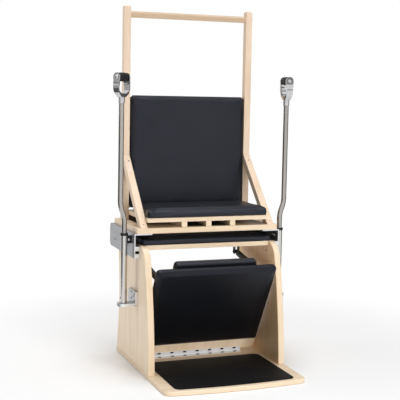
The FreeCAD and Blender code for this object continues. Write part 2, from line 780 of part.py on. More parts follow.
def make_pedal():
    """The pedal board with its front pad, the padded step and the hinge that carries it."""
    make_hinge_leaf("hinge_base_leaf", (0, s.hinge_back, pin_height, Z_AXIS, 180))
    make_hinge_leaf("hinge_pedal_leaf", pedal_places())
    pin = doc.addObject("Part::Cylinder", "hinge_pin")
    pin.Label = "hinge_pin"
    bind(pin, "Radius", s.hinge_pin / 2)
    bind(pin, "Height", s.hinge_length)
    place(pin, -s.hinge_length / 2, s.hinge_back, pin_height, Y_AXIS, 90)
    nodes.append(pin)
    board = new_body("pedal_board", *pedal_places())
    corner, cover = s.pedal_corner, s.pedal_wrap + s.soft_gap
    bare_end = s.pedal_pad_start - s.soft_gap
    wood = [
        (corner - pedal_half, s.pedal_start), (pedal_half - corner, s.pedal_start, corner),
        (pedal_half, s.pedal_start + corner), (pedal_half, bare_end),
    ]
    wood += under_cover(pedal_half - cover, bare_end, s.pedal_end - cover, corner - cover)
    wood += [(-pedal_half, bare_end), (-pedal_half, s.pedal_start + corner, corner)]
    pad(board, draw(new_sketch(board, "XY_Plane", pedal_back), wood), s.pedal_thick)
    outline = rounded(-pedal_half, s.pedal_pad_start, pedal_half, s.pedal_end, s.pedal_pad_corner, corner)
    hollow = under_cover(pedal_half - s.pedal_wrap, s.pedal_pad_start - s.pedal_pad_corner,
                         s.pedal_end - s.pedal_wrap, corner - s.pedal_wrap)
    flat_pad("pedal_pad", outline, pedal_face + s.soft_gap, s.pedal_pad_thick, s.pedal_pad_round,
             pedal_places(), hollow, s.pedal_thick + s.soft_gap)
    step_low = s.pedal_end + s.step_over - s.step_depth
    cushion("step_pad", s.step_width / 2, step_low, s.step_depth, s.step_thick,
            s.step_crown, s.cushion_tuck, pedal_back - s.soft_gap, -1, places=pedal_places())


def add_peg(body, along, height, root, length, side):
    """A capped peg that points from the plane x = root towards the middle of the chair."""
    peg = draw_circle(new_sketch(body, "YZ_Plane", root), along, height, s.peg_thick / 2)
    pad(body, peg, length, back=side > 0)
    cap = draw_circle(new_sketch(body, "YZ_Plane", root - length * side), along, height, s.peg_cap / 2)
    pad(body, cap, s.peg_cap_thick, back=side > 0)


def make_spring_mounts():
    """A forked hanger under the seat for each spring, and the capped pegs on the pedal."""
    half, rise, plate = s.hanger_depth / 2, s.hanger_rise, s.hanger_plate
    inner = s.hanger_gap / 2
    outer = inner + plate
    arm = [(half, rise), (-half, rise), (-half, half, half), (0, 0, half), (half, half)]
    for side, name in SIDES:
        hanger = new_body(f"{name}_spring_hanger", spring_x * side, hanger_back, hanger_foot)
        flange = rectangle(-outer, -s.hanger_flange / 2, outer, s.hanger_flange / 2)
        pad(hanger, draw(new_sketch(hanger, "XY_Plane", rise - plate), flange), plate)
        for start in (-outer, inner):
            pad(hanger, draw(new_sketch(hanger, "YZ_Plane", start), arm), plate)
        sketch = new_sketch(hanger, "YZ_Plane", -outer)
        pad(hanger, draw_circle(sketch, 0, s.hanger_peg_rise, s.peg_thick / 2), outer * 2)
        for end, back in ((-outer, True), (outer, False)):
            cap = draw_circle(new_sketch(hanger, "YZ_Plane", end), 0, s.hanger_peg_rise, s.peg_cap / 2)
            pad(hanger, cap, s.peg_cap_thick, back=back)
        eye = new_body(f"{name}_pedal_eye", *pedal_places())
        cheek_face = spring_x + s.spring_outer / 2 - s.eye_cheek
        low, high = eye_along - s.eye_half, eye_along + s.eye_half
        top = pedal_back - s.eye_rise
        cheek = [
            (low, pedal_back), (low, top, -s.eye_half), (eye_along, top - s.eye_half, -s.eye_half),
            (high, top), (high, pedal_back),
        ]
        pad(eye, draw(new_sketch(eye, "YZ_Plane", cheek_face * side), cheek), s.eye_cheek, back=side < 0)
        flange = rectangle(low, pedal_back - s.eye_flange, high, pedal_back)
        sketch = draw(new_sketch(eye, "YZ_Plane", (cheek_face - s.eye_half) * side), flange)
        pad(eye, sketch, s.eye_half + s.eye_cheek, back=side < 0)
        add_peg(eye, eye_along, top, cheek_face * side, cheek_face - spring_x + s.peg_past_spring, side)


def spring_line():
    """The two ends of a spring's axis, behind and in front, and its slope and length."""
    out = pedal_back - s.eye_rise
    front_y = s.hinge_back - eye_along * sine(s.pedal_lean) - out * cosine(s.pedal_lean)
    front_z = pin_height + eye_along * cosine(s.pedal_lean) - out * sine(s.pedal_lean)
    run, fall = hanger_back - front_y, peg_height - front_z
    length = math.hypot(run.number, fall.number)
    return (hanger_back, peg_height), (front_y, front_z), slope(fall, run), length


def make_spring_end(label, x, point, angle):
    """A ring on a peg, with a stem and a plug that carries the end of the coil."""
    body = new_body(label, x, point[0], point[1], X_AXIS, angle)
    ring = new_sketch(body, "YZ_Plane")
    draw_circle(ring, 0, 0, s.ring_outer / 2)
    draw_circle(ring, 0, 0, s.peg_thick / 2 + s.part_gap)
    pad(body, ring, s.ring_thick, both=True)
    stem_start = s.ring_outer / 2 - (s.ring_outer - s.peg_thick) / 6
    stem = draw_circle(new_sketch(body, "XZ_Plane", -stem_start), 0, 0, s.stem_thick / 2)
    pad(body, stem, s.plug_start - stem_start, back=True)
    plug_radius = s.spring_outer / 2 - s.wire - s.part_gap
    plug = draw_circle(new_sketch(body, "XZ_Plane", -s.plug_start), 0, 0, plug_radius)
    pad(body, plug, s.plug_length, back=True)


def arc_from(start, direction, end):
    """The arc that leaves start along a unit direction and reaches end."""
    chord = end - start
    along = chord * (1 / chord.Length)
    across = direction - along * direction.dot(along)
    half_turn = math.acos(max(-1, min(1, direction.dot(along)))) / 2
    middle = (start + end) * 0.5 + across.normalize() * (chord.Length / 2 * math.tan(half_turn))
    return Part.Arc(start, middle, end).toShape()


def biarc(start, start_way, end, end_way):
    """Two arcs that join smoothly, between two points with given unit directions."""
    gap, ways = end - start, start_way + end_way
    share = 2 * (1 - start_way.dot(end_way))
    reach = (math.sqrt(gap.dot(ways) ** 2 + share * gap.dot(gap)) - gap.dot(ways)) / share
    joint = (start + end + (start_way - end_way) * reach) * 0.5
    way = (joint - start - start_way * reach).normalize()
    return [arc_from(start, start_way, joint), arc_from(joint, way, end)]


def make_spring(label, x, point, angle, length):
    """A coil of round wire along +Y of its own frame, wound as half turns of two arcs each."""
    radius, wire = (s.spring_outer - s.wire).number / 2, s.wire.number
    begin = (s.plug_start + s.wire / 2).number
    turns = int(s.spring_turns.number)
    pitch = (length - 2 * begin) / turns
    lead = 2 * math.pi * radius
    slant = FreeCAD.Vector(lead, pitch, 0).normalize()

    def on_coil(turn):
        angle = 2 * math.pi * turn
        return FreeCAD.Vector(radius * math.cos(angle), begin + pitch * turn, radius * math.sin(angle))

    def way(turn):
        angle = 2 * math.pi * turn
        return FreeCAD.Vector(-slant.x * math.sin(angle), slant.y, slant.x * math.cos(angle))

    first, last = on_coil(0) - way(0) * wire, on_coil(turns) + way(turns) * wire
    edges = [Part.makeLine(first, on_coil(0))]
    for half in range(2 * turns):
        edges += biarc(on_coil(half / 2), way(half / 2), on_coil(half / 2 + 0.5), way(half / 2 + 0.5))
    edges.append(Part.makeLine(on_coil(turns), last))
    profile = Part.Wire(Part.makeCircle(wire / 2, first, way(0)))
    coil = doc.addObject("Part::Feature", label)
    coil.Label = label
    coil.Shape = Part.Wire(edges).makePipeShell([profile], True, False)
    place(coil, x, point[0], point[1], X_AXIS, angle)
    nodes.append(coil)
    samples = [on_coil(step / 24) for step in range(24 * turns + 1)]
    later = range(18, len(samples))
    near = min((samples[0] - samples[number]).Length for number in later)
    print(f"{label}: least gap between its turns {near - wire:.2f} mm")


def make_springs():
    """A spring on each side, hung between its hanger and the pedal's peg."""
    rear, front, tilt, length = spring_line()
    for side, name in SIDES:
        make_spring_end(f"{name}_spring_head", spring_x * side, rear, 180 + tilt)
        make_spring(f"{name}_spring", spring_x * side, rear, 180 + tilt, length)
        make_spring_end(f"{name}_spring_tail", spring_x * side, front, tilt)


def make_board(label, left, front, right, rear, low, thick):
    body = new_body(label, z=low)
    pad(body, draw(new_sketch(body, "XY_Plane"), rectangle(left, front, right, rear)), thick)


def make_back_unit():
    """The lift-off unit: two boards with joists between, posts, braces, a dowel and two cushions."""
    half = half_width + s.lower_board_overhang
    make_board("lower_board", -half, -s.lower_board_front, half, s.lower_board_rear,
               rail_top, s.lower_board_thick)
    batten_front = post_rear - s.batten_thick
    front = -s.upper_board_front
    for number, name in ((-1, "left"), (0, "middle"), (1, "right")):
        left = s.joist_spacing * number - s.joist_width / 2
        make_board(f"{name}_joist", left, front, left + s.joist_width, batten_front, lower_top, s.joist_rise)
    make_board("rear_batten", -post_inner, batten_front, post_inner, post_rear, lower_top, s.joist_rise)
    make_board("upper_board", -post_inner, front, post_inner, post_rear, joist_top, s.upper_board_thick)
    board_front = post_rear - s.back_board_thick
    back_face = board_front - s.soft_gap - s.back_cushion_thick
    depth = back_face - s.upper_cushion_rear_gap + s.upper_cushion_front
    cushion("upper_cushion", post_inner - s.upper_cushion_side_gap, -s.upper_cushion_front, depth,
            s.upper_cushion_thick, s.upper_cushion_crown, s.cushion_tuck, flare=s.upper_cushion_flare,
            places=(0, 0, upper_top + s.soft_gap))
    low, rise = upper_top + s.back_cushion_lift, s.back_cushion_rise
    make_board("back_board", -post_inner, board_front, post_inner, post_rear, low, rise - s.back_board_drop)
    half, corner = post_inner - s.back_cushion_side_gap, s.back_cushion_corner
    outline = rounded(-half, as_size(0), half, rise, corner, corner)
    flat_pad("back_cushion", outline, as_size(0), s.back_cushion_thick, s.back_cushion_round,
             (0, board_front - s.soft_gap, low, X_AXIS, 90))
    dowel = doc.addObject("Part::Cylinder", "top_dowel")
    dowel.Label = "top_dowel"
    bind(dowel, "Radius", s.dowel_thick / 2)
    bind(dowel, "Height", post_inner * 2)
    dowel_height = lower_top + s.post_rise - s.dowel_drop
    place(dowel, -post_inner, post_front + s.post_size / 2, dowel_height, Y_AXIS, 90)
    nodes.append(dowel)
    foot = s.brace_inset - s.lower_board_front
    profile = [
        (foot, lower_top), (foot + s.brace_width, lower_top),
        (post_front, lower_top + s.brace_rise * (1 - s.brace_width / (post_front - foot))),
        (post_front, lower_top + s.brace_rise),
    ]
    for side, name in SIDES:
        left = post_inner if side > 0 else -post_inner - s.post_size
        post = new_body(f"{name}_post", z=lower_top)
        outline = rectangle(left, post_front, left + s.post_size, post_rear)
        pad(post, draw(new_sketch(post, "XY_Plane"), outline), s.post_rise)
        high = s.post_rise.number - 0.1
        round_edges(post, s.post_round, lambda edge: edge.BoundBox.ZMin > high)
        brace = new_body(f"{name}_brace", x=left)
        pad(brace, draw(new_sketch(brace, "YZ_Plane"), profile), s.post_size)


def write_nodes():
    """Check every object, then write each node's shape to its own file."""
    doc.recompute()
    for item in doc.Objects:
        if {"Invalid", "Error"} & set(item.State):
            raise RuntimeError(f"{item.Label} failed: {item.State}")
    for node in nodes:
        shape = node.Shape
        if shape.isNull() or not shape.isValid() or not shape.Solids:
            raise RuntimeError(f"{node.Label} has no valid solid")
    os.makedirs("parts", exist_ok=True)
    for node in nodes:
        node.Shape.exportStep(os.path.join("parts", f"{node.Label}.step"))
    print(f"{len(nodes)} nodes written")


make_base()
make_side_panels()
make_seat()
make_rails()
make_sleeves()
make_poles()
make_hand_forks()
make_pedal()
make_spring_mounts()
make_springs()
make_back_unit()
write_nodes()
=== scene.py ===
# %% [markdown]
# A pilates chair: a birch box with a sprung pedal in front, two padded seats, a high padded back that
# lifts off its rails, and a bent hand pole on each side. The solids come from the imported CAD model, and
# this lesson dresses them. Loading the frame first keeps every later piece in the CAD's own place.

import json
import math

import bmesh
import bpy
from mathutils import Matrix, Vector
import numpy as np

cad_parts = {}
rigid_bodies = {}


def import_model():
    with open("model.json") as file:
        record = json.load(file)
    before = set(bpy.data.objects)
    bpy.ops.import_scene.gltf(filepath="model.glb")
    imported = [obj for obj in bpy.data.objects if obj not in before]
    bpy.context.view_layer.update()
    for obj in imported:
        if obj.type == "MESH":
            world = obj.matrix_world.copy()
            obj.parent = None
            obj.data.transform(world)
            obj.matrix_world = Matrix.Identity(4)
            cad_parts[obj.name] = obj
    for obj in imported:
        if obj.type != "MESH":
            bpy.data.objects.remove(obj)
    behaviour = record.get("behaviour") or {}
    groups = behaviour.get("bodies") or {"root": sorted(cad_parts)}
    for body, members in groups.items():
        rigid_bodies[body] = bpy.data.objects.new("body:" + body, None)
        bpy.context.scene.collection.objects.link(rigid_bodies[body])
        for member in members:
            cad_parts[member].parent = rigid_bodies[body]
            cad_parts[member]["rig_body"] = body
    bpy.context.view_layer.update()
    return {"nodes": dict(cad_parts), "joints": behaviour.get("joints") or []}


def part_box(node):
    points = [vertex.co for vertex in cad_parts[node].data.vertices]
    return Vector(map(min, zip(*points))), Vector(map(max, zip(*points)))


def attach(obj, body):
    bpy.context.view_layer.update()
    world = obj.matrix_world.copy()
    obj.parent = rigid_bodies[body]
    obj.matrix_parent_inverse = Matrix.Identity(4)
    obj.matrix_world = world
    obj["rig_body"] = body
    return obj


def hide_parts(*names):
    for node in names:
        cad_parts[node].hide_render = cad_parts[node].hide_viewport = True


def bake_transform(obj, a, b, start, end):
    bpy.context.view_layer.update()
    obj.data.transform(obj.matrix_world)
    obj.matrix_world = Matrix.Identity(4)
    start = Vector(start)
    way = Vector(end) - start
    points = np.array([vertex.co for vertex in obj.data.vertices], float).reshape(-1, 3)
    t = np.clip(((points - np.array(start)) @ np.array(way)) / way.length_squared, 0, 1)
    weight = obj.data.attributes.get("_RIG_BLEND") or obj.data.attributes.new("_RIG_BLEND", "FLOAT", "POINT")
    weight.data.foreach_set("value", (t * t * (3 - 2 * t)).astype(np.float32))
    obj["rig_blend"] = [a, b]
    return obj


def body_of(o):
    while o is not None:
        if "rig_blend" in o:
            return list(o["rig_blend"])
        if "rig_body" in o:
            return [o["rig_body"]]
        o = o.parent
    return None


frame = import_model()
nodes = frame["nodes"]
scene = bpy.context.scene

# %% [markdown]
# The picture was taken from the front left, a little above the seat. A camera can be aimed by eye, but
# here its place, turn and lens were solved from straight edges of the chair, so the matrix is written
# out: its columns are the picture's right, its up, and the way back to the lens.

# %% Camera
CAMERA_PLACE = Vector((-1.416, -3.632, 1.1384))
CAMERA_TURN = math.radians(20.743)
CAMERA_PITCH = math.radians(-5.164)
CAMERA_ROLL = math.radians(1.103)

ahead = Vector((math.sin(CAMERA_TURN) * math.cos(CAMERA_PITCH),
                math.cos(CAMERA_TURN) * math.cos(CAMERA_PITCH),
                math.sin(CAMERA_PITCH)))
level = Vector((math.cos(CAMERA_TURN), -math.sin(CAMERA_TURN), 0))
upright = level.cross(ahead)
picture_right = level * math.cos(CAMERA_ROLL) + upright * math.sin(CAMERA_ROLL)
picture_up = upright * math.cos(CAMERA_ROLL) - level * math.sin(CAMERA_ROLL)

lens = bpy.data.cameras.new("camera")
lens.sensor_fit = "HORIZONTAL"
lens.sensor_width = 36
lens.lens = 84.31
lens.shift_y = -0.049
camera = bpy.data.objects.new("camera", lens)
turn = Matrix((picture_right, picture_up, -ahead)).transposed()
camera.matrix_world = Matrix.Translation(CAMERA_PLACE) @ turn.to_4x4()
scene.collection.objects.link(camera)
scene.camera = camera
print("camera looks along", tuple(round(c, 3) for c in ahead))

# %% [markdown]
# The chair stands on a white sweep under large soft lamps. A low lamp in front gives the pale wood its
# level, one on the left opens the side, and both hide from reflections, so that they leave no patch on
# vinyl or chrome; one above lights the tops and the floor, and the white room fills the rest. The
# camera, and what shines, sees the room as plain white. Grey cards stand beside, behind and over the
# chair, as in a product studio: only reflections see them, and they draw the edges of bright tubes and
# black cushions.


# %% Node helpers
def math_step(tree, operation, first, second=None):
    step = tree.nodes.new("ShaderNodeMath")
    step.operation = operation
    for number, value in enumerate((first, second)):
        if isinstance(value, (int, float)):
            step.inputs[number].default_value = value
        elif value is not None:
            tree.links.new(value, step.inputs[number])
    return step.outputs[0]


def seen_directly(tree):
    """1 for what the camera, a reflection or a clear piece sees, and 0 for light that only bounces."""
    ray = tree.nodes.new("ShaderNodeLightPath").outputs
    direct = math_step(tree, "MAXIMUM", ray["Is Camera Ray"], ray["Is Glossy Ray"])
    return math_step(tree, "MAXIMUM", direct, ray["Is Transmission Ray"])


def mix_to_output(tree, factor, first, second, output):
    choose = tree.nodes.new("ShaderNodeMixShader")
    for number, socket in enumerate((factor, first, second)):
        tree.links.new(socket, choose.inputs[number])
    tree.links.new(choose.outputs[0], tree.nodes[output].inputs["Surface"])


# %% White room
FILL_STRENGTH = 0.17
scene.view_settings.view_transform = "Standard"
room = bpy.data.worlds.new("white_room")
scene.world = room
room.use_nodes = True
fill_light = room.node_tree.nodes["Background"]
seen_white = room.node_tree.nodes.new("ShaderNodeBackground")
for background, strength in ((fill_light, FILL_STRENGTH), (seen_white, 1.0)):
    background.inputs["Color"].default_value = (1, 1, 1, 1)
    background.inputs["Strength"].default_value = strength
mix_to_output(room.node_tree, seen_directly(room.node_tree), fill_light.outputs[0], seen_white.outputs[0],
              "World Output")
print("fill light", FILL_STRENGTH)


# %% Soft lamps
def soft_lamp(name, place, aim, size, power):
    light = bpy.data.lights.new(name, "AREA")
    light.shape = "SQUARE"
    light.size = size
    light.energy = power
    lamp = bpy.data.objects.new(name, light)
    lamp.location = place
    lamp.rotation_euler = (Vector(aim) - Vector(place)).to_track_quat("-Z", "Y").to_euler()
    scene.collection.objects.link(lamp)
    return lamp


MIDDLE = (0, 0, 0.6)
front_lamp = soft_lamp("front_lamp", (0.7, -4.3, 0.65), MIDDLE, size=2.2, power=160)
front_lamp.visible_glossy = False
left_lamp = soft_lamp("left_lamp", (-3.4, 1.0, 1.2), MIDDLE, size=2.4, power=38)
left_lamp.visible_glossy = False
soft_lamp("top_lamp", (0.2, 0.35, 6.0), MIDDLE, size=3.4, power=270)


# %% Stage sheets
def stage_sheet(name, corners, colour):
    mesh = bpy.data.meshes.new(name)
    mesh.from_pydata(corners, [], [(0, 1, 2, 3)])
    sheet = bpy.data.objects.new(name, mesh)
    scene.collection.objects.link(sheet)
    paint = bpy.data.materials.new(f"{name}_paint")
    paint.use_nodes = True
    shader = paint.node_tree.nodes["Principled BSDF"]
    shader.inputs["Base Color"].default_value = colour
    shader.inputs["Roughness"].default_value = 0.7
    shader.inputs["Specular IOR Level"].default_value = 0.1
    mesh.materials.append(paint)
    return sheet


FLOOR_HALF = 9.0
FLOOR_LEVEL = -0.0004
floor = stage_sheet("floor", [
    (-FLOOR_HALF, -FLOOR_HALF, FLOOR_LEVEL), (FLOOR_HALF, -FLOOR_HALF, FLOOR_LEVEL),
    (FLOOR_HALF, FLOOR_HALF, FLOOR_LEVEL), (-FLOOR_HALF, FLOOR_HALF, FLOOR_LEVEL)], (0.93, 0.93, 0.935, 1))
print("floor at", FLOOR_LEVEL)

# %% [markdown]
# A real sweep curves up and turns plain white behind the object. Here the floor holds its shadow near
# the chair, and what the lens or a reflection sees of it further out fades into the white of the room.

# %% White distance
SHADOW_REACH = 0.75
WHITE_FROM = 1.7
floor_tree = floor.data.materials[0].node_tree
spot = floor_tree.nodes.new("ShaderNodeTexCoord")
reach = floor_tree.nodes.new("ShaderNodeVectorMath")
reach.operation = "LENGTH"
floor_tree.links.new(spot.outputs["Object"], reach.inputs[0])
fade = floor_tree.nodes.new("ShaderNodeMapRange")
fade.interpolation_type = "SMOOTHSTEP"
fade.inputs["From Min"].default_value = SHADOW_REACH
fade.inputs["From Max"].default_value = WHITE_FROM
floor_tree.links.new(reach.outputs["Value"], fade.inputs["Value"])
share = math_step(floor_tree, "MULTIPLY", seen_directly(floor_tree), fade.outputs["Result"])
glow = floor_tree.nodes.new("ShaderNodeEmission")
mix_to_output(floor_tree, share, floor_tree.nodes["Principled BSDF"].outputs[0], glow.outputs[0],
              "Material Output")
print("shadow fades from", SHADOW_REACH, "to", WHITE_FROM)


# %% Grey cards
def side_card(x, near, far, low, high):
    return [(x, near, low), (x, far, low), (x, far, high), (x, near, high)]


def cross_card(y, left, right, low, high):
    return [(left, y, low), (right, y, low), (right, y, high), (left, y, high)]


CARD_AWAY = 1.9
CARD_TOP = 2.2
PALE_FROM = 1.0
ROOF = 3.2
REAR = 4
cards = [
    ("left_card", 0.12, side_card(-CARD_AWAY, -0.9, 2.2, 0, PALE_FROM)),
    ("pale_card", 0.50, side_card(-CARD_AWAY, -0.9, 2.2, PALE_FROM, CARD_TOP)),
    ("right_card", 0.12, side_card(CARD_AWAY, -0.6, 2.6, 0, CARD_TOP)),
    ("roof_card", 0.05, [(-0.3, -0.4, ROOF), (2.5, -0.4, ROOF), (2.5, REAR, ROOF), (-0.3, REAR, ROOF)]),
    ("rear_card", 0.05, cross_card(REAR, 0.7, 2.5, 1.2, ROOF)),
    ("front_card", 0.05, cross_card(-3, 1.4, 1.8, 1.2, 1.5)),
]
for name, grey, corners in cards:
    card = stage_sheet(name, corners, (grey, grey, grey, 1))
    card.visible_camera = False
    card.visible_diffuse = False
    card.visible_shadow = False
    card.visible_transmission = False
    print(card.name, "grey", grey)

# %% [markdown]
# Birch has a pale even colour, with long soft fibres and a few broader bands. Stretching a noise along
# the grain gives both. The figure is a node group, because every board uses it, each with its own
# stretch; the group only puts out values, and the shader stays in each material.


# %% Shader groups: small helpers
def new_group(name, inputs, outputs, kind_of_tree="ShaderNodeTree"):
    group = bpy.data.node_groups.new(name, kind_of_tree)
    for label, kind in inputs:
        group.interface.new_socket(label, in_out="INPUT", socket_type=kind)
    for label, kind in outputs:
        group.interface.new_socket(label, in_out="OUTPUT", socket_type=kind)
    entry = group.nodes.new("NodeGroupInput")
    exit_node = group.nodes.new("NodeGroupOutput")
    return group, entry, exit_node


def vector_step(tree, operation, first, second):
    step = tree.nodes.new("ShaderNodeVectorMath")
    step.operation = operation
    tree.links.new(first, step.inputs[0])
    tree.links.new(second, step.inputs[1])
    return step.outputs["Value"] if operation == "DOT_PRODUCT" else step.outputs["Vector"]


def noise_step(tree, vector, scale, detail, distortion=0.0):
    step = tree.nodes.new("ShaderNodeTexNoise")
    step.inputs["Scale"].default_value = scale
    step.inputs["Detail"].default_value = detail
    step.inputs["Distortion"].default_value = distortion
    tree.links.new(vector, step.inputs["Vector"])
    return step.outputs["Fac"]


# %% Shader group: wood figure
def make_wood_figure():
    group, entry, exit_node = new_group(
        "wood_figure",
        [("Vector", "NodeSocketVector"), ("Stretch", "NodeSocketVector")],
        [("Bands", "NodeSocketFloat"), ("Fibres", "NodeSocketFloat")])
    along = vector_step(group, "MULTIPLY", entry.outputs["Vector"], entry.outputs["Stretch"])
    bands = noise_step(group, along, 1.0, 4, 0.6)
    fibres = noise_step(group, along, 7.0, 5, 0.2)
    group.links.new(bands, exit_node.inputs["Bands"])
    group.links.new(fibres, exit_node.inputs["Fibres"])
    return group


wood_figure = make_wood_figure()
print("group", wood_figure.name)


# %% Shader group: plywood layers
def make_ply_layers():
    group, entry, exit_node = new_group(
        "ply_layers",
        [("Vector", "NodeSocketVector"), ("Normal", "NodeSocketVector"), ("Through", "NodeSocketVector"),
         ("Layer", "NodeSocketFloat")],
        [("Mask", "NodeSocketFloat")])
    depth = vector_step(group, "DOT_PRODUCT", entry.outputs["Vector"], entry.outputs["Through"])
    count = math_step(group, "DIVIDE", depth, entry.outputs["Layer"])
    wave = math_step(group, "PINGPONG", count, 1.0)
    stripe = math_step(group, "GREATER_THAN", wave, 0.52)
    facing = vector_step(group, "DOT_PRODUCT", entry.outputs["Normal"], entry.outputs["Through"])
    on_edge = math_step(group, "LESS_THAN", math_step(group, "ABSOLUTE", facing), 0.5)
    group.links.new(math_step(group, "MULTIPLY", stripe, on_edge), exit_node.inputs["Mask"])
    return group


ply_layers = make_ply_layers()
print("group", ply_layers.name)


# %% Shader group: vinyl pebble
def make_vinyl_pebble():
    group, entry, exit_node = new_group(
        "vinyl_pebble",
        [("Vector", "NodeSocketVector"), ("Pebbles", "NodeSocketFloat")],
        [("Height", "NodeSocketFloat"), ("Tone", "NodeSocketFloat")])
    cells = group.nodes.new("ShaderNodeTexVoronoi")
    cells.feature = "SMOOTH_F1"
    group.links.new(entry.outputs["Vector"], cells.inputs["Vector"])
    group.links.new(entry.outputs["Pebbles"], cells.inputs["Scale"])
    fine = noise_step(group, entry.outputs["Vector"], 1800.0, 2)
    broad = noise_step(group, entry.outputs["Vector"], 9.0, 3)
    height = math_step(group, "ADD", cells.outputs["Distance"], math_step(group, "MULTIPLY", fine, 0.3))
    group.links.new(height, exit_node.inputs["Height"])
    group.links.new(broad, exit_node.inputs["Tone"])
    return group


vinyl_pebble = make_vinyl_pebble()
print("group", vinyl_pebble.name)


# %% Shader group: handling marks
def make_handling():
    group, entry, exit_node = new_group(
        "handling",
        [("Vector", "NodeSocketVector"), ("Size", "NodeSocketFloat"), ("Level", "NodeSocketFloat"),
         ("Amount", "NodeSocketFloat")],
        [("Roughness", "NodeSocketFloat")])
    spots = group.nodes.new("ShaderNodeTexNoise")
    spots.inputs["Detail"].default_value = 5
    group.links.new(entry.outputs["Vector"], spots.inputs["Vector"])
    group.links.new(entry.outputs["Size"], spots.inputs["Scale"])
    around = math_step(group, "SUBTRACT", spots.outputs["Fac"], 0.5)
    share = math_step(group, "MULTIPLY", around, entry.outputs["Amount"])
    group.links.new(math_step(group, "ADD", share, entry.outputs["Level"]), exit_node.inputs["Roughness"])
    return group


handling = make_handling()
print("group", handling.name)


# %% Shader group: drawn metal
def make_drawn_lines():
    group, entry, exit_node = new_group(
        "drawn_lines",
        [("Vector", "NodeSocketVector"), ("Stretch", "NodeSocketVector")],
        [("Lines", "NodeSocketFloat")])
    along = vector_step(group, "MULTIPLY", entry.outputs["Vector"], entry.outputs["Stretch"])
    group.links.new(noise_step(group, along, 1.0, 6), exit_node.inputs["Lines"])
    return group


drawn_lines = make_drawn_lines()
print("group", drawn_lines.name)

# %% [markdown]
# Each finish is one material with its own shader. A small builder makes the nodes that all of them
# share: object coordinates, a group node with its values, and a bump. Object coordinates are right here
# because every piece sits at the origin, so a pattern keeps its real size and doesn't slide.


# %% Material helpers
FACING = 0.7


class Finish:
    def __init__(self, name, roughness, metallic=0.0, specular=0.5, coat=0.0):
        self.material = bpy.data.materials.new(name)
        self.material.use_nodes = True
        self.tree = self.material.node_tree
        self.shader = self.tree.nodes["Principled BSDF"]
        self.shader.inputs["Roughness"].default_value = roughness
        self.shader.inputs["Metallic"].default_value = metallic
        self.shader.inputs["Specular IOR Level"].default_value = specular
        self.shader.inputs["Coat Weight"].default_value = coat
        self.shader.inputs["Coat Roughness"].default_value = 0.25
        self.places = self.tree.nodes.new("ShaderNodeTexCoord")
        self.vector = self.places.outputs["Object"]

    def turned(self, rotation):
        mapping = self.tree.nodes.new("ShaderNodeMapping")
        mapping.inputs["Rotation"].default_value = rotation
        self.tree.links.new(self.vector, mapping.inputs["Vector"])
        self.vector = mapping.outputs["Vector"]

    def group(self, tree, **values):
        node = self.tree.nodes.new("ShaderNodeGroup")
        node.node_tree = tree
        self.tree.links.new(self.vector, node.inputs["Vector"])
        for label, value in values.items():
            node.inputs[label].default_value = value
        return node

    def mix(self, factor, first, second, blend="MIX"):
        node = self.tree.nodes.new("ShaderNodeMix")
        node.data_type = "RGBA"
        node.blend_type = blend
        for socket, value in zip((node.inputs[0], node.inputs[6], node.inputs[7]), (factor, first, second)):
            if isinstance(value, (int, float, tuple)):
                socket.default_value = value
            else:
                self.tree.links.new(value, socket)
        return node.outputs[2]

    def ramp(self, factor, low, high):
        node = self.tree.nodes.new("ShaderNodeMapRange")
        node.inputs["From Min"].default_value = low
        node.inputs["From Max"].default_value = high
        self.tree.links.new(factor, node.inputs["Value"])
        return node.outputs["Result"]

    def split(self, label):
        """X, Y and Z of the object coordinates or of the normal."""
        node = self.tree.nodes.new("ShaderNodeSeparateXYZ")
        self.tree.links.new(self.places.outputs[label], node.inputs[0])
        return node.outputs

    def maths(self, operation, first, second=None):
        return math_step(self.tree, operation, first, second)

    def colour(self, socket):
        self.tree.links.new(socket, self.shader.inputs["Base Color"])

    def worn(self, size, level, amount):
        marks = self.group(handling, Size=size, Level=level, Amount=amount)
        self.tree.links.new(marks.outputs["Roughness"], self.shader.inputs["Roughness"])

    def bump(self, height, strength, distance):
        node = self.tree.nodes.new("ShaderNodeBump")
        node.inputs["Strength"].default_value = strength
        node.inputs["Distance"].default_value = distance
        self.tree.links.new(height, node.inputs["Height"])
        self.tree.links.new(node.outputs["Normal"], self.shader.inputs["Normal"])


print("finish builder ready")

# %% [markdown]
# The boards are birch plywood under a thin clear lacquer, the posts and battens solid birch. Grain runs
# the long way of each piece, so there is one material for each direction, and the ply ones show their
# thin layers only on the edges, where the surface faces across the layers. Some light and shade is
# painted in: the top of the lower board of the back unit carries painted shade in the bays between the
# joists, blackest in the two middle ones; the side panels carry painted warm bounce light on the inside;
# and the dowel, the rear batten and, a little, the posts and braces are tinted darker as painted shade.

# %% Birch
BIRCH_PALE = (0.86, 0.715, 0.535, 1)
BIRCH_WARM = (0.78, 0.60, 0.41, 1)
BIRCH_FIBRE = (0.71, 0.52, 0.34, 1)
PLY_DARK = (0.60, 0.42, 0.27, 1)
# Painted shade: the tones that the top of the lower board takes in the bays between the joists.
BAY_SHADE_BROWN = (0.12, 0.07, 0.04, 1)
BAY_SHADE_BLACK = (0.012, 0.009, 0.007, 1)
BAY_END = 0.268
BAY_MIDDLE = 0.108
BROWN_SHADE_FADE = (0.0, 0.13)
BLACK_SHADE_FADE = (-0.005, 0.02)
# Painted warm bounce light: the tint of the side panels' inner faces.
PAINTED_BOUNCE_WARMTH = (1.0, 0.84, 0.64, 1)
LONG = 2.2
CROSS = 26.0
FIBRE_SHARE = 0.45
PLY_LAYER = 0.0019
PLY_SHARE = 0.35


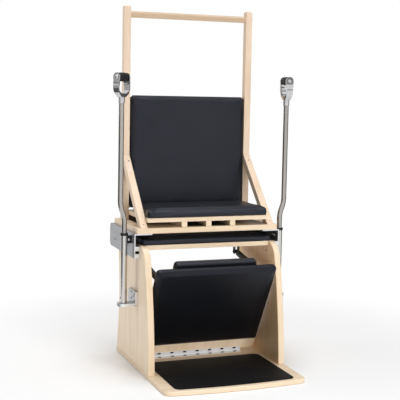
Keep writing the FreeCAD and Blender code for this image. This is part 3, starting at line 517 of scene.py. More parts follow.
def painted_bay_shade(finish, tone):
    """Paint shade on the top of the lower board between the joists, darker from its front edge inwards and
    blackest in the two middle bays.
    """
    place = finish.split("Object")
    top = finish.maths("GREATER_THAN", finish.split("Normal")["Z"], FACING)
    aside = finish.maths("ABSOLUTE", place["X"])
    inside = finish.maths("MULTIPLY", top, finish.maths("LESS_THAN", aside, BAY_END))
    deep = finish.maths("MULTIPLY", inside, finish.ramp(place["Y"], *BROWN_SHADE_FADE))
    middle = finish.maths("MULTIPLY", inside, finish.maths("LESS_THAN", aside, BAY_MIDDLE))
    black = finish.maths("MULTIPLY", middle, finish.ramp(place["Y"], *BLACK_SHADE_FADE))
    return finish.mix(black, finish.mix(deep, tone, BAY_SHADE_BROWN), BAY_SHADE_BLACK)


def painted_bounce_inside(finish, tone):
    """Paint warm bounce light on the faces that look towards the chair's middle plane, where wood lights wood.
    """
    outwards = finish.maths("MULTIPLY", finish.split("Object")["X"], finish.split("Normal")["X"])
    inner = finish.maths("LESS_THAN", outwards, -0.1)
    return finish.mix(inner, tone, finish.mix(1.0, tone, PAINTED_BOUNCE_WARMTH, "MULTIPLY"))


def birch(name, stretch, through=None, rotation=None, shade_tint=None, bays=False, inside=False):
    finish = Finish(name, 0.42, specular=0.4, coat=0.12)
    if rotation is not None:
        finish.turned(rotation)
    figure = finish.group(wood_figure, Stretch=stretch)
    bands = finish.ramp(figure.outputs["Bands"], 0.35, 0.75)
    fibres = finish.ramp(figure.outputs["Fibres"], 0.55, 0.85)
    tone = finish.mix(bands, BIRCH_PALE, BIRCH_WARM)
    tone = finish.mix(finish.maths("MULTIPLY", fibres, FIBRE_SHARE), tone, BIRCH_FIBRE)
    if through is not None:
        layers = finish.group(ply_layers, Through=through, Layer=PLY_LAYER)
        finish.tree.links.new(finish.places.outputs["Normal"], layers.inputs["Normal"])
        tone = finish.mix(finish.maths("MULTIPLY", layers.outputs["Mask"], PLY_SHARE), tone, PLY_DARK)
    # Painted shade: a tint that darkens the whole piece.
    if shade_tint is not None:
        tone = finish.mix(1.0, tone, shade_tint, "MULTIPLY")
    if bays:
        tone = painted_bay_shade(finish, tone)
    if inside:
        tone = painted_bounce_inside(finish, tone)
    finish.colour(tone)
    finish.worn(6.0, 0.43, 0.12)
    finish.bump(figure.outputs["Fibres"], 0.12, 0.0004)
    return finish.material


ALONG_X = (LONG, CROSS, CROSS)
ALONG_Y = (CROSS, LONG, CROSS)
ALONG_Z = (CROSS, CROSS, LONG)
# The side panels carry painted warm bounce light on their inner faces; the lower board carries painted shade in
# the bays.
birch_panel = birch("birch_panel", ALONG_Z, through=(1, 0, 0), inside=True)
birch_shelf = birch("birch_shelf", ALONG_X, through=(0, 0, 1))
birch_lower = birch("birch_lower", ALONG_X, through=(0, 0, 1), bays=True)
# Painted shade: posts and braces a little darker as the upper parts get less light, the top dowel darker as it
# is shaded from the top light, the rear batten near black as the shade deep in the bays.
birch_upright = birch("birch_upright", ALONG_Z, shade_tint=(0.94, 0.90, 0.92, 1))
birch_cross = birch("birch_cross", ALONG_X, shade_tint=(0.68, 0.61, 0.57, 1))
birch_deep = birch("birch_deep", ALONG_Y)
birch_back = birch("birch_back", ALONG_Z, through=(0, 1, 0))
birch_stained = birch("birch_stained", ALONG_X, shade_tint=(0.10, 0.07, 0.05, 1))
print("birch finishes:", [name for name in bpy.data.materials.keys() if name.startswith("birch")])

# %% [markdown]
# The pedal board is the same birch, but it leans 30 degrees, so its grain leans with it. A Mapping node
# turns the coordinates until the board's own length lies along Y again.

# %% Leaning birch for the pedal
PEDAL_LEAN = math.radians(120)
PEDAL_UP = Vector((0, math.cos(PEDAL_LEAN), math.sin(PEDAL_LEAN)))
PEDAL_FRONT = Vector((0, -math.sin(PEDAL_LEAN), math.cos(PEDAL_LEAN)))
birch_pedal = birch("birch_pedal", ALONG_Y, rotation=(-PEDAL_LEAN, 0, 0))
print("pedal front faces", tuple(round(c, 3) for c in PEDAL_FRONT))

# %% [markdown]
# The cushions are covered in matt black vinyl with a fine pebble. A smooth Voronoi gives rounded cells
# about a millimetre across; a slow noise lets the gloss and the black drift a little, as handled vinyl
# does. The pedal's copy reflects less, as painted shade on its face that leans down, and the mat on the
# base is a flatter rubber with a finer grain.


# %% Vinyl and mat
def vinyl(name, dark, pale, pebbles, roughness, strength, specular):
    finish = Finish(name, roughness, specular=specular)
    finish.shader.inputs["Specular Tint"].default_value = (0.77, 0.83, 1.0, 1)
    pebble = finish.group(vinyl_pebble, Pebbles=pebbles)
    finish.colour(finish.mix(finish.ramp(pebble.outputs["Tone"], 0.3, 0.7), dark, pale))
    finish.worn(14.0, roughness, 0.16)
    finish.bump(pebble.outputs["Height"], strength, 0.0003)
    return finish.material


VINYL_DARK = (0.003, 0.0033, 0.0045, 1)
VINYL_PALE = (0.005, 0.0054, 0.007, 1)
RUBBER_DARK = (0.003, 0.003, 0.0035, 1)
RUBBER_PALE = (0.005, 0.005, 0.0055, 1)
black_vinyl = vinyl("black_vinyl", VINYL_DARK, VINYL_PALE, pebbles=760.0, roughness=0.42,
                    strength=0.30, specular=0.52)
# Painted shade: the pedal's copy reflects less, so that its face, leaning down, stays darker.
pedal_vinyl = vinyl("pedal_vinyl", VINYL_DARK, VINYL_PALE, pebbles=760.0, roughness=0.42,
                    strength=0.30, specular=0.38)
mat_rubber = vinyl("mat_rubber", RUBBER_DARK, RUBBER_PALE, pebbles=1300.0, roughness=0.55,
                   strength=0.4, specular=0.12)
print("soft finishes:", black_vinyl.name, pedal_vinyl.name, mat_rubber.name)

# %% [markdown]
# The metals differ in how they were finished: the poles are drawn stainless tube with fine lines along
# them, the forks and bolts are bright chrome, the rails and brackets are satin grey, and the springs'
# ends and hangers are dark. One function gives each its colour, its lines and its handling marks; on rails
# and brackets every face turned to the front is painted paler, partly the bare metal of their cut ends and
# partly a painted highlight from the front light.


# %% Metals
def metal(name, dark, pale, stretch, roughness, amount, strength, metallic=1.0, cut_and_lit=None):
    finish = Finish(name, roughness, metallic=metallic)
    lines = finish.group(drawn_lines, Stretch=stretch)
    streak = finish.ramp(lines.outputs["Lines"], 0.3, 0.7)
    tone = finish.mix(streak, dark, pale)
    # Painted highlight: faces turned to the front take a paler tone, partly the bare metal of their cut ends
    # and partly the front light on them.
    if cut_and_lit is not None:
        tone = finish.mix(finish.maths("LESS_THAN", finish.split("Normal")["Y"], -FACING), tone, cut_and_lit)
    finish.colour(tone)
    finish.worn(22.0, roughness, amount)
    finish.bump(lines.outputs["Lines"], strength, 0.0002)
    return finish.material


# Painted highlight and bare metal: the paler tone of the front-facing faces of rails and brackets.
CUT_AND_LIT = (0.84, 0.85, 0.88, 1)
TUBE_LINES = (150, 150, 1.5)
EVEN_LINES = (300, 300, 300)
drawn_steel = metal("drawn_steel", (0.40, 0.375, 0.35, 1), (0.50, 0.475, 0.45, 1), TUBE_LINES,
                    roughness=0.20, amount=0.08, strength=0.03)
sleeve_steel = metal("sleeve_steel", (0.62, 0.60, 0.58, 1), (0.72, 0.70, 0.675, 1), TUBE_LINES,
                     roughness=0.20, amount=0.08, strength=0.03)
chrome = metal("chrome", (0.56, 0.56, 0.57, 1), (0.66, 0.66, 0.67, 1), (60, 60, 60),
               roughness=0.12, amount=0.06, strength=0.02)
satin_rail = metal("satin_rail", (0.34, 0.345, 0.36, 1), (0.47, 0.475, 0.49, 1), (900, 8, 900),
                   roughness=0.42, amount=0.14, strength=0.10, cut_and_lit=CUT_AND_LIT)
satin_plate = metal("satin_plate", (0.38, 0.385, 0.40, 1), (0.52, 0.525, 0.545, 1), (500, 500, 10),
                    roughness=0.36, amount=0.14, strength=0.10, cut_and_lit=CUT_AND_LIT)
hinge_zinc = metal("hinge_zinc", (0.78, 0.78, 0.79, 1), (0.90, 0.90, 0.91, 1), (10, 600, 600),
                   roughness=0.30, amount=0.16, strength=0.10, metallic=0.25)
dark_steel = metal("dark_steel", (0.018, 0.018, 0.02, 1), (0.035, 0.035, 0.04, 1), EVEN_LINES,
                   roughness=0.45, amount=0.2, strength=0.15)
spring_steel = metal("spring_steel", (0.05, 0.05, 0.052, 1), (0.10, 0.10, 0.103, 1), EVEN_LINES,
                     roughness=0.32, amount=0.16, strength=0.10)
print("metals:", [m.name for m in (drawn_steel, sleeve_steel, chrome, satin_rail, satin_plate, hinge_zinc,
                                   dark_steel, spring_steel)])


# %% Black mouldings
def moulding(name, dark, pale, grain, roughness, strength):
    finish = Finish(name, roughness, specular=0.22)
    pebble = finish.group(vinyl_pebble, Pebbles=grain)
    finish.colour(finish.mix(finish.ramp(pebble.outputs["Tone"], 0.3, 0.7), dark, pale))
    finish.worn(40.0, roughness, 0.18)
    finish.bump(pebble.outputs["Height"], strength, 0.0002)
    return finish.material


black_moulding = moulding("black_moulding", (0.010, 0.010, 0.011, 1), (0.017, 0.017, 0.018, 1),
                          grain=1600.0, roughness=0.38, strength=0.25)
grip_rubber = moulding("grip_rubber", (0.008, 0.008, 0.009, 1), (0.014, 0.014, 0.015, 1),
                       grain=900.0, roughness=0.5, strength=0.4)
print("mouldings:", black_moulding.name, grip_rubber.name)

# %% [markdown]
# Most rigid solids already have the right shape, so they stay and only take their finish. A table of
# node names is the shortest way to say which piece is made of what.

# %% Finish of the carried-over solids
SIDES = ("left", "right")
finishes = {
    "top_dowel": birch_cross,
    "hinge_base_leaf": hinge_zinc,
    "hinge_pedal_leaf": hinge_zinc,
    "hinge_pin": hinge_zinc,
    "rail_bolts": satin_rail,
    "clamp_bolts": chrome,
}
for side in SIDES:
    finishes[f"{side}_rail"] = satin_rail
    finishes[f"{side}_sleeve"] = sleeve_steel
    finishes[f"{side}_clamp"] = black_moulding
    finishes[f"{side}_bracket"] = satin_plate
    finishes[f"{side}_spring_hanger"] = dark_steel
    finishes[f"{side}_pedal_eye"] = dark_steel
    finishes[f"{side}_spring_head"] = dark_steel
    finishes[f"{side}_spring_tail"] = dark_steel
    finishes[f"{side}_collar"] = black_moulding
    finishes[f"{side}_pole"] = drawn_steel
    finishes[f"{side}_fork"] = chrome
    finishes[f"{side}_grip_bolt"] = chrome
    finishes[f"{side}_grip"] = grip_rubber
for name, material in finishes.items():
    nodes[name].data.materials.clear()
    nodes[name].data.materials.append(material)
print("solids finished:", len(finishes))

# %% [markdown]
# Sawn boards have their edges eased with a router or sandpaper, and that thin bright line is what makes
# wood look like wood. The CAD boards have sharp edges, so each gets a copy with a small round: merge the
# loose triangles, dissolve the flat ones into whole faces, and bevel what is still sharp.


# %% Eased copies
def finished_piece(name, shape, material, smooth_angle=40):
    mesh = bpy.data.meshes.new(name)
    shape.to_mesh(mesh)
    shape.free()
    mesh.shade_smooth()
    mesh.set_sharp_from_angle(angle=math.radians(smooth_angle))
    mesh.materials.append(material)
    piece = bpy.data.objects.new(name, mesh)
    scene.collection.objects.link(piece)
    return piece


def shown_mesh(piece):
    """A new mesh with what the modifiers give."""
    return bpy.data.meshes.new_from_object(piece.evaluated_get(bpy.context.evaluated_depsgraph_get()))


def make_plain(piece):
    """Turn what the modifiers give into the piece's own mesh."""
    mesh = shown_mesh(piece)
    old = piece.data
    piece.modifiers.clear()
    piece.data = mesh
    bpy.data.meshes.remove(old)
    mesh.name = piece.name


def stand_in(piece, node):
    """Let a piece take the place of a node, on the body that the node is on."""
    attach(piece, body_of(nodes[node])[0])
    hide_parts(node)


def keep_flats(piece):
    """Let large flat faces keep their own normals beside the small rounds."""
    weighted = piece.modifiers.new("weighted", "WEIGHTED_NORMAL")
    weighted.keep_sharp = True
    weighted.weight = 100
    make_plain(piece)


def merged_copy(node):
    shape = bmesh.new()
    shape.from_mesh(nodes[node].data)
    bmesh.ops.remove_doubles(shape, verts=shape.verts, dist=2e-6)
    bmesh.ops.dissolve_limit(shape, angle_limit=math.radians(0.3), verts=shape.verts, edges=shape.edges)
    return shape


def sharp_edges(shape, sharper_than=30):
    return [edge for edge in shape.edges
            if len(edge.link_faces) == 2 and edge.calc_face_angle() > math.radians(sharper_than)]


def rounded_off(shape, edges, width, segments=3):
    bmesh.ops.bevel(shape, geom=edges, offset=width, offset_type="OFFSET", segments=segments, profile=0.5,
                    affect="EDGES", clamp_overlap=False)


def eased(node, width, material, wide=None, wide_width=0.0):
    shape = merged_copy(node)
    if wide is not None:
        chosen = [edge for edge in sharp_edges(shape) if any(wide(vertex.co) for vertex in edge.verts)]
        rounded_off(shape, chosen, wide_width)
    rounded_off(shape, sharp_edges(shape), width)
    piece = finished_piece(f"{node}_eased", shape, material)
    keep_flats(piece)
    stand_in(piece, node)
    return piece


# %% Boards, posts and braces
boards = [
    ("base_board", 0.0015, birch_shelf),
    ("left_side_panel", 0.0025, birch_panel),
    ("right_side_panel", 0.0025, birch_panel),
    ("seat_board", 0.0015, birch_shelf),
    ("lower_board", 0.002, birch_lower),
    ("left_joist", 0.001, birch_deep),
    ("middle_joist", 0.001, birch_deep),
    ("right_joist", 0.001, birch_deep),
    ("rear_batten", 0.001, birch_stained),
    ("upper_board", 0.002, birch_shelf),
    ("left_post", 0.0015, birch_upright),
    ("right_post", 0.0015, birch_upright),
    ("left_brace", 0.002, birch_upright),
    ("right_brace", 0.002, birch_upright),
    ("back_board", 0.0015, birch_back),
]
for node, width, material in boards:
    piece = eased(node, width, material)
    print(piece.name, len(piece.data.polygons), "faces")

# %% Pedal board
pin_low, pin_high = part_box("hinge_pin")
PIN = (Vector(pin_low) + Vector(pin_high)) / 2
COVER_FROM = 0.07
pedal_wood = eased("pedal_board", 0.002, birch_pedal,
                   wide=lambda place: (place - PIN).dot(PEDAL_UP) > COVER_FROM, wide_width=0.006)
print(pedal_wood.name, len(pedal_wood.data.polygons), "faces, hinged at", tuple(round(c, 4) for c in PIN))

# %% [markdown]
# Each fork is a steel strap pressed over a former: below the ears it has a shallow groove and then swells
# a little, and that soft step catches the light. The solid's ears are flat, so a copy is cut into thin
# rows and its strap is pushed in and out along a short curve. The bolt and the grip stay where they are.

# %% Shouldered forks
SWELL = 0.003
GROOVE = 0.0022
RAMP_START = 0.024
RAMP_LENGTH = 0.010
CUTS = 17
CUT_STEP = 0.0013
STRAP_FROM = 0.016
STRAP_FULL = 0.010
joints = {joint["name"]: joint for joint in frame["joints"]}


def ease_in(value):
    value = min(max(value, 0.0), 1.0)
    return value * value * (3 - 2 * value)


for side in SIDES:
    spin = joints[f"{side}_grip_spin"]
    grip_axis = Vector(spin["axis"]).normalized()
    grip_place = Vector(spin["pos_m"])
    shape = merged_copy(f"{side}_fork")
    for number in range(CUTS):
        cut = grip_place.z - RAMP_START + RAMP_LENGTH - number * CUT_STEP
        bmesh.ops.bisect_plane(shape, geom=shape.verts[:] + shape.edges[:] + shape.faces[:], dist=1e-6,
                               plane_co=(0, 0, cut), plane_no=(0, 0, 1))
    for vertex in shape.verts:
        across = (vertex.co - grip_place).dot(grip_axis)
        fallen = (grip_place.z - RAMP_START - vertex.co.z) / RAMP_LENGTH
        pressed = SWELL * ease_in(fallen) - GROOVE * ease_in(1 - abs(fallen))
        on_strap = ease_in((abs(across) - STRAP_FROM) / STRAP_FULL)
        vertex.co += grip_axis * math.copysign(pressed * on_strap, across)
    rounded_off(shape, sharp_edges(shape, sharper_than=60), width=0.0006, segments=2)
    piece = finished_piece(f"{side}_fork_shouldered", shape, chrome, smooth_angle=50)
    keep_flats(piece)
    stand_in(piece, f"{side}_fork")
    print(piece.name, len(piece.data.polygons), "faces")

# %% [markdown]
# The cushions are foam under stretched vinyl. A crowned block looks stiff, so each starts as a slightly
# smaller copy of its solid, remeshed into small even faces, and Blender's cloth blows it up gently with
# its underside pinned to the board. A cap on the movement keeps the edges where the board ends. The
# pedal's cover wraps round its board, so it starts from the hull of its solid, with the board inside.


# %% Cushion helpers
ACROSS = Vector((1, 0, 0))


def hull_copy(node):
    """The closed hull of a node; a hollow in its back is filled."""
    shape = bmesh.new()
    for vertex in nodes[node].data.vertices:
        shape.verts.new(vertex.co)
    bmesh.ops.remove_doubles(shape, verts=shape.verts, dist=1e-5)
    result = bmesh.ops.convex_hull(shape, input=shape.verts)
    inside = [item for item in result["geom_interior"] if isinstance(item, bmesh.types.BMVert)]
    bmesh.ops.delete(shape, geom=inside, context="VERTS")
    return shape


def even_mesh(node, voxel, shrink, lower, up, tucked):
    """A remeshed copy of a node's solid, drawn in at its sides and lowered at its crown."""
    shape = hull_copy(node)
    low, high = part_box(node)
    middle = (Vector(low) + Vector(high)) / 2
    base = min(vertex.co.dot(up) for vertex in shape.verts)
    top = max(vertex.co.dot(up) for vertex in shape.verts)
    across, along = ACROSS, up.cross(ACROSS)
    for direction in (across, along):
        reach = max(abs((vertex.co - middle).dot(direction)) for vertex in shape.verts)
        for vertex in shape.verts:
            vertex.co -= direction * ((vertex.co - middle).dot(direction) / reach * shrink)
    for vertex in shape.verts:
        height = vertex.co.dot(up) - base
        vertex.co += up * (tucked - height / (top - base) * (lower + tucked))
    bmesh.ops.triangulate(shape, faces=shape.faces)
    piece = finished_piece(f"{node}_cover", shape, black_vinyl, smooth_angle=180)
    remesh = piece.modifiers.new("even", "REMESH")
    remesh.mode = "VOXEL"
    remesh.voxel_size = voxel
    return piece, base + tucked


def round_corners(piece, up, radius):
    """Turn the square corners of a block into round ones, seen along its up direction."""
    across, along = ACROSS, up.cross(ACROSS)
    places = [(vertex.co.dot(across), vertex.co.dot(along)) for vertex in piece.data.vertices]
    lows, highs = [min(axis) for axis in zip(*places)], [max(axis) for axis in zip(*places)]
    middles = [(low + high) / 2 for low, high in zip(lows, highs)]
    limits = [(high - low) / 2 - radius for low, high in zip(lows, highs)]
    for vertex, place in zip(piece.data.vertices, places):
        over = [abs(value - middle) - limit for value, middle, limit in zip(place, middles, limits)]
        if min(over) > 0:
            pull = 1 - max(over) / math.hypot(*over)
            for direction, value, middle, excess in zip((across, along), place, middles, over):
                vertex.co -= direction * math.copysign(excess * pull, value - middle)


# %% Cushion cloth
CLOTH_FRAMES = 20
SMOOTH_PASSES = 3


def blow_up(piece, pinned, cap, pressure):
    group = piece.vertex_groups.new(name="pinned")
    group.add(pinned, 1.0, "REPLACE")
    before = [vertex.co.copy() for vertex in piece.data.vertices]
    cloth = piece.modifiers.new("foam", "CLOTH")
    cloth.settings.quality = 5
    cloth.settings.mass = 0.3
    cloth.settings.tension_stiffness = 20
    cloth.settings.compression_stiffness = 20
    cloth.settings.bending_stiffness = 2
    cloth.settings.use_pressure = True
    cloth.settings.uniform_pressure_force = pressure
    cloth.settings.vertex_group_mass = "pinned"
    cloth.settings.effector_weights.gravity = 0
    cloth.collision_settings.use_collision = False
    for number in range(1, CLOTH_FRAMES + 1):
        scene.frame_set(number)
    shown = piece.evaluated_get(bpy.context.evaluated_depsgraph_get())
    after = [vertex.co.copy() for vertex in shown.data.vertices]
    piece.modifiers.clear()
    scene.frame_set(1)
    for vertex, start, end in zip(piece.data.vertices, before, after):
        move = end - start
        if move.length > cap:
            move *= cap / move.length
        vertex.co = start + move


def cushion(node, up, voxel, shrink, lower, cap, fill, pressure, held=0.003, tucked=0.0, corner=0.0):
    piece, base = even_mesh(node, voxel, shrink, lower, up, tucked)
    make_plain(piece)
    if corner > 0:
        round_corners(piece, up, corner)
    shape = bmesh.new()
    shape.from_mesh(piece.data)
    free = [vertex for vertex in shape.verts if vertex.co.dot(up) - base > held]
    for _ in range(SMOOTH_PASSES):
        bmesh.ops.smooth_vert(shape, verts=free, factor=0.5,
                              use_axis_x=True, use_axis_y=True, use_axis_z=True)
    shape.to_mesh(piece.data)
    shape.free()
    pinned = [vertex.index for vertex in piece.data.vertices if vertex.co.dot(up) - base < held]
    blow_up(piece, pinned, cap, pressure)
    finer = piece.modifiers.new("finer", "SUBSURF")
    finer.levels = finer.render_levels = 1
    make_plain(piece)
    piece.data.shade_smooth()
    stand_in(piece, node)
    print(piece.name, len(piece.data.polygons), "faces")
    return piece


# %% The five cushions
UP = Vector((0, 0, 1))
FRONT = Vector((0, -1, 0))
SOFT = {"shrink": 0.001, "lower": 0.002, "cap": 0.004, "fill": 0.9, "pressure": 2.0}
cushion("seat_cushion", UP, voxel=0.005, corner=0.012, **SOFT)
cushion("upper_cushion", UP, voxel=0.005, corner=0.014, **SOFT)
cushion("back_cushion", FRONT, voxel=0.005, shrink=0.001, lower=0.002, cap=0.003, fill=0.95, pressure=1.5,
        held=0.012, corner=0.011)
pedal_cover = cushion("pedal_pad", PEDAL_FRONT, voxel=0.0053, shrink=0.0006, lower=0.0015, cap=0.0025,
                      fill=0.95, pressure=1.2, held=0.019, tucked=0.0012)
pedal_cover.data.materials[0] = pedal_vinyl
cushion("step_pad", -PEDAL_FRONT, voxel=0.004, corner=0.012, **SOFT)

# %% Base mat
mat_piece = eased("base_mat", 0.0028, mat_rubber)
print(mat_piece.name, len(mat_piece.data.polygons), "faces")

# %% [markdown]
# A spring is a rule: so many turns, so far apart, round one axis. Geometry Nodes has a spiral for that,
# swept with a round wire. The solid's coil is coarse, so this one has the close turns of a real tension
# spring. It belongs to both the ring on the hanger and the coil body, and stretches between them.


# %% Growing trees: small helpers
def new_tree(name, inputs):
    geometry = [("Geometry", "NodeSocketGeometry")]
    return new_group(name, geometry + inputs, geometry, "GeometryNodeTree")


def painted_out(tree, entry, exit_node, shape):
    """Make copies real, give them the finish and hand them out."""
    real = tree.nodes.new("GeometryNodeRealizeInstances")
    paint = tree.nodes.new("GeometryNodeSetMaterial")
    tree.links.new(shape, real.inputs["Geometry"])
    tree.links.new(real.outputs["Geometry"], paint.inputs["Geometry"])
    tree.links.new(entry.outputs["Finish"], paint.inputs["Material"])
    tree.links.new(paint.outputs["Geometry"], exit_node.inputs["Geometry"])


def grown_mesh(name, tree, values):
    seed = bpy.data.objects.new(name, bpy.data.meshes.new(f"{name}_seed"))
    scene.collection.objects.link(seed)
    modifier = seed.modifiers.new("grow", "NODES")
    modifier.node_group = tree
    for socket in tree.interface.items_tree:
        if socket.name in values:
            modifier[socket.identifier] = values[socket.name]
    mesh = shown_mesh(seed)
    bpy.data.objects.remove(seed)
    mesh.name = name
    return mesh


# %% Spring tree
def make_coil_tree():
    tree, entry, exit_node = new_tree("close_coil", [
        ("Turns", "NodeSocketFloat"), ("Radius", "NodeSocketFloat"), ("Length", "NodeSocketFloat"),
        ("Wire", "NodeSocketFloat"), ("Finish", "NodeSocketMaterial")])
    spiral = tree.nodes.new("GeometryNodeCurveSpiral")
    spiral.inputs["Resolution"].default_value = 26
    wire = tree.nodes.new("GeometryNodeCurvePrimitiveCircle")
    wire.inputs["Resolution"].default_value = 8
    sweep = tree.nodes.new("GeometryNodeCurveToMesh")
    sweep.inputs["Fill Caps"].default_value = True
    tree.links.new(entry.outputs["Turns"], spiral.inputs["Rotations"])
    tree.links.new(entry.outputs["Radius"], spiral.inputs["Start Radius"])
    tree.links.new(entry.outputs["Radius"], spiral.inputs["End Radius"])
    tree.links.new(entry.outputs["Length"], spiral.inputs["Height"])
    tree.links.new(entry.outputs["Wire"], wire.inputs["Radius"])
    tree.links.new(spiral.outputs["Curve"], sweep.inputs["Curve"])
    tree.links.new(wire.outputs["Curve"], sweep.inputs["Profile Curve"])
    painted_out(tree, entry, exit_node, sweep.outputs["Mesh"])
    return tree


coil_tree = make_coil_tree()
print("tree", coil_tree.name)


# %% Springs
COIL_RADIUS = 0.011
COIL_WIRE = 0.002
COIL_PITCH = 0.0044
COIL_FROM_RING = 0.024
for side in SIDES:
    start = Vector(joints[f"{side}_spring_swing"]["pos_m"])
    end = Vector(joints[f"{side}_tail_swing"]["pos_m"])
    line = (end - start).normalized()
    length = (end - start).length - 2 * COIL_FROM_RING
    mesh = grown_mesh(f"{side}_spring_coil", coil_tree, {
        "Turns": length / COIL_PITCH, "Radius": COIL_RADIUS, "Length": length, "Wire": COIL_WIRE,
        "Finish": spring_steel})
    first = start + line * COIL_FROM_RING
    mesh.transform(Matrix.Translation(first) @ line.to_track_quat("Z", "X").to_matrix().to_4x4())
    mesh.shade_smooth()
    spring = bpy.data.objects.new(mesh.name, mesh)
    scene.collection.objects.link(spring)
    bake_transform(spring, f"{side}_link", f"{side}_coil", start=tuple(first), end=tuple(first + line * length))
    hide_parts(f"{side}_spring")
    print(spring.name, round(length * 1000, 1), "mm,", len(mesh.polygons), "faces")

# %% [markdown]
# Screws hold the long hinge, the sleeve brackets and the braces. They repeat in rows, so one node tree
# sets a small domed head on each point of a line and turns it to face outwards. The hinge shows longer
# dark dashes, so its heads are stretched into ovals.


# %% Screw head
def make_screw_head():
    profile = [(1.0, 0.0), (0.98, 0.22), (0.72, 0.44), (0.46, 0.5), (0.38, 0.5), (0.32, 0.1)]
    segments = 10
    angles = [2 * math.pi * k / segments for k in range(segments)]
    shape = bmesh.new()
    rings = [[shape.verts.new((radius * math.cos(angle), radius * math.sin(angle), height))
              for angle in angles] for radius, height in profile]
    for lower, upper in zip(rings, rings[1:]):
        for k in range(segments):
            following = (k + 1) % segments
            shape.faces.new((lower[k], lower[following], upper[following], upper[k]))
    shape.faces.new(rings[-1])
    shape.faces.new(list(reversed(rings[0])))
    return finished_piece("screw_head", shape, chrome)


screw_head = make_screw_head()
print("screw head faces:", len(screw_head.data.polygons))


# %% Screw rows
def make_row_tree():
    tree, entry, exit_node = new_tree("screw_row", [
        ("First", "NodeSocketVector"), ("Step", "NodeSocketVector"), ("Count", "NodeSocketInt"),
        ("Facing", "NodeSocketVector"), ("Radius", "NodeSocketFloat"), ("Head", "NodeSocketObject"),
        ("Finish", "NodeSocketMaterial")])
    row = tree.nodes.new("GeometryNodeMeshLine")
    source = tree.nodes.new("GeometryNodeObjectInfo")
    face = tree.nodes.new("FunctionNodeAlignRotationToVector")
    spread = tree.nodes.new("GeometryNodeInstanceOnPoints")
    tree.links.new(entry.outputs["Count"], row.inputs["Count"])
    tree.links.new(entry.outputs["First"], row.inputs["Start Location"])
    tree.links.new(entry.outputs["Step"], row.inputs["Offset"])
    tree.links.new(entry.outputs["Head"], source.inputs["Object"])
    tree.links.new(entry.outputs["Facing"], face.inputs["Vector"])
    tree.links.new(row.outputs["Mesh"], spread.inputs["Points"])
    tree.links.new(source.outputs["Geometry"], spread.inputs["Instance"])
    tree.links.new(face.outputs["Rotation"], spread.inputs["Rotation"])
    tree.links.new(entry.outputs["Radius"], spread.inputs["Scale"])
    painted_out(tree, entry, exit_node, spread.outputs["Instances"])
    return tree


row_tree = make_row_tree()
print("tree", row_tree.name)


# %% Rows into one piece for a body
def screws(name, body, rows, radius, material, head=screw_head):
    shape = bmesh.new()
    for number, (first, step, count, facing) in enumerate(rows):
        mesh = grown_mesh(f"{name}_{number}", row_tree, {
            "First": tuple(first), "Step": tuple(step), "Count": count, "Facing": tuple(facing),
            "Radius": radius, "Head": head, "Finish": material})
        shape.from_mesh(mesh)
        bpy.data.meshes.remove(mesh)
    piece = finished_piece(name, shape, material)
    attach(piece, body)
    print(piece.name, "on", body, len(piece.data.polygons), "faces")


# %% Hinge screws
HINGE_SCREWS = 7
HINGE_HEAD = 0.0044
OVAL = 1.9
BASE_ROW_IN = 0.0058
BASE_ROW_UP = 0.0016
PEDAL_ROW_UP = 0.0125
PEDAL_ROW_BACK = 0.0024
oval_head = screw_head.copy()
oval_head.data = screw_head.data.copy()
oval_head.data.transform(Matrix.Diagonal((OVAL, 1, 1, 1)))
low, high = (Vector(corner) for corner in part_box("hinge_base_leaf"))
pitch = (high.x - low.x) / HINGE_SCREWS
row_step = Vector((pitch, 0, 0))
base_first = Vector((low.x + pitch / 2, low.y + BASE_ROW_IN, low.z + BASE_ROW_UP))
pedal_first = Vector((low.x + pitch / 2, PIN.y, PIN.z))
pedal_first += PEDAL_UP * PEDAL_ROW_UP - PEDAL_FRONT * PEDAL_ROW_BACK
screws("base_leaf_screws", body_of(nodes["hinge_base_leaf"])[0],
       [(base_first, row_step, HINGE_SCREWS, UP)], HINGE_HEAD, dark_steel, oval_head)
screws("pedal_leaf_screws", body_of(nodes["hinge_pedal_leaf"])[0],
       [(pedal_first, row_step, HINGE_SCREWS, PEDAL_FRONT)], HINGE_HEAD, dark_steel, oval_head)

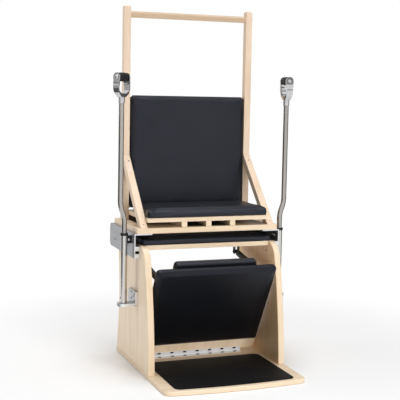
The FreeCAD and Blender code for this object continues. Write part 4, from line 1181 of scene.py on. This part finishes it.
# %% Bracket, panel and clamp screws
NO_STEP = Vector((0, 0, 0))
BRACKET_SPOTS = [(0.069, 0.320), (0.022, 0.318), (0.041, 0.306), (0.068, 0.293), (0.025, 0.288)]
BRACKET_OUT = 0.011
PANEL_SPOT = (0.006, 0.481)
CLAMP_BOLT_OUT = 0.001
RAIL_NUT = (0.32, 0.0268, 0.5428)
SLEEVE_PIN_UP = 0.022
frame_body = body_of(nodes["left_bracket"])[0]
dark_rows = []
bolt_rows = []
nub_rows = []
nut_rows = []
for way, side in ((-1, "left"), (1, "right")):
    out = Vector((way, 0, 0))
    low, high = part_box(f"{side}_side_panel")
    inner_face = high[0] if way < 0 else low[0]
    outer_face = (low[0] if way < 0 else high[0]) + way * BRACKET_OUT
    dark_rows += [(Vector((outer_face, y, z)), NO_STEP, 1, out) for y, z in BRACKET_SPOTS]
    dark_rows.append((Vector((inner_face, *PANEL_SPOT)), NO_STEP, 1, -out))
    low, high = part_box(f"{side}_clamp")
    bolt_x = (low[0] + high[0]) / 2 + way * CLAMP_BOLT_OUT
    bolt_rows.append((Vector((bolt_x, low[1], (low[2] + high[2]) / 2)), NO_STEP, 1, FRONT))
    nut_rows.append((Vector((way * RAIL_NUT[0], RAIL_NUT[1], RAIL_NUT[2])), NO_STEP, 1, -out))
    low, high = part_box(f"{side}_sleeve")
    pin_x = low[0] if way < 0 else high[0]
    nub_rows.append((Vector((pin_x, (low[1] + high[1]) / 2, low[2] + SLEEVE_PIN_UP)), NO_STEP, 1, out))
screws("frame_screws", frame_body, dark_rows, 0.0034, dark_steel)
screws("clamp_screws", frame_body, bolt_rows, 0.0052, chrome)
screws("sleeve_pins", frame_body, nub_rows, 0.004, drawn_steel)
screws("rail_nuts", frame_body, nut_rows, 0.0052, hinge_zinc)

# %% Brace screws
BRACE_FACE = Vector((0, -0.714, 0.700))
brace_rows = [(Vector((x, y, z)), NO_STEP, 1, BRACE_FACE) for x, y, z in (
    (-0.283, 0.0035, 0.608), (0.283, 0.0035, 0.608), (-0.279, 0.2420, 0.8525), (0.283, 0.2420, 0.8525))]
screws("brace_screws", body_of(nodes["left_brace"])[0], brace_rows, 0.0032, dark_steel)

# %% Remove the loose heads
bpy.data.objects.remove(screw_head)
bpy.data.objects.remove(oval_head)
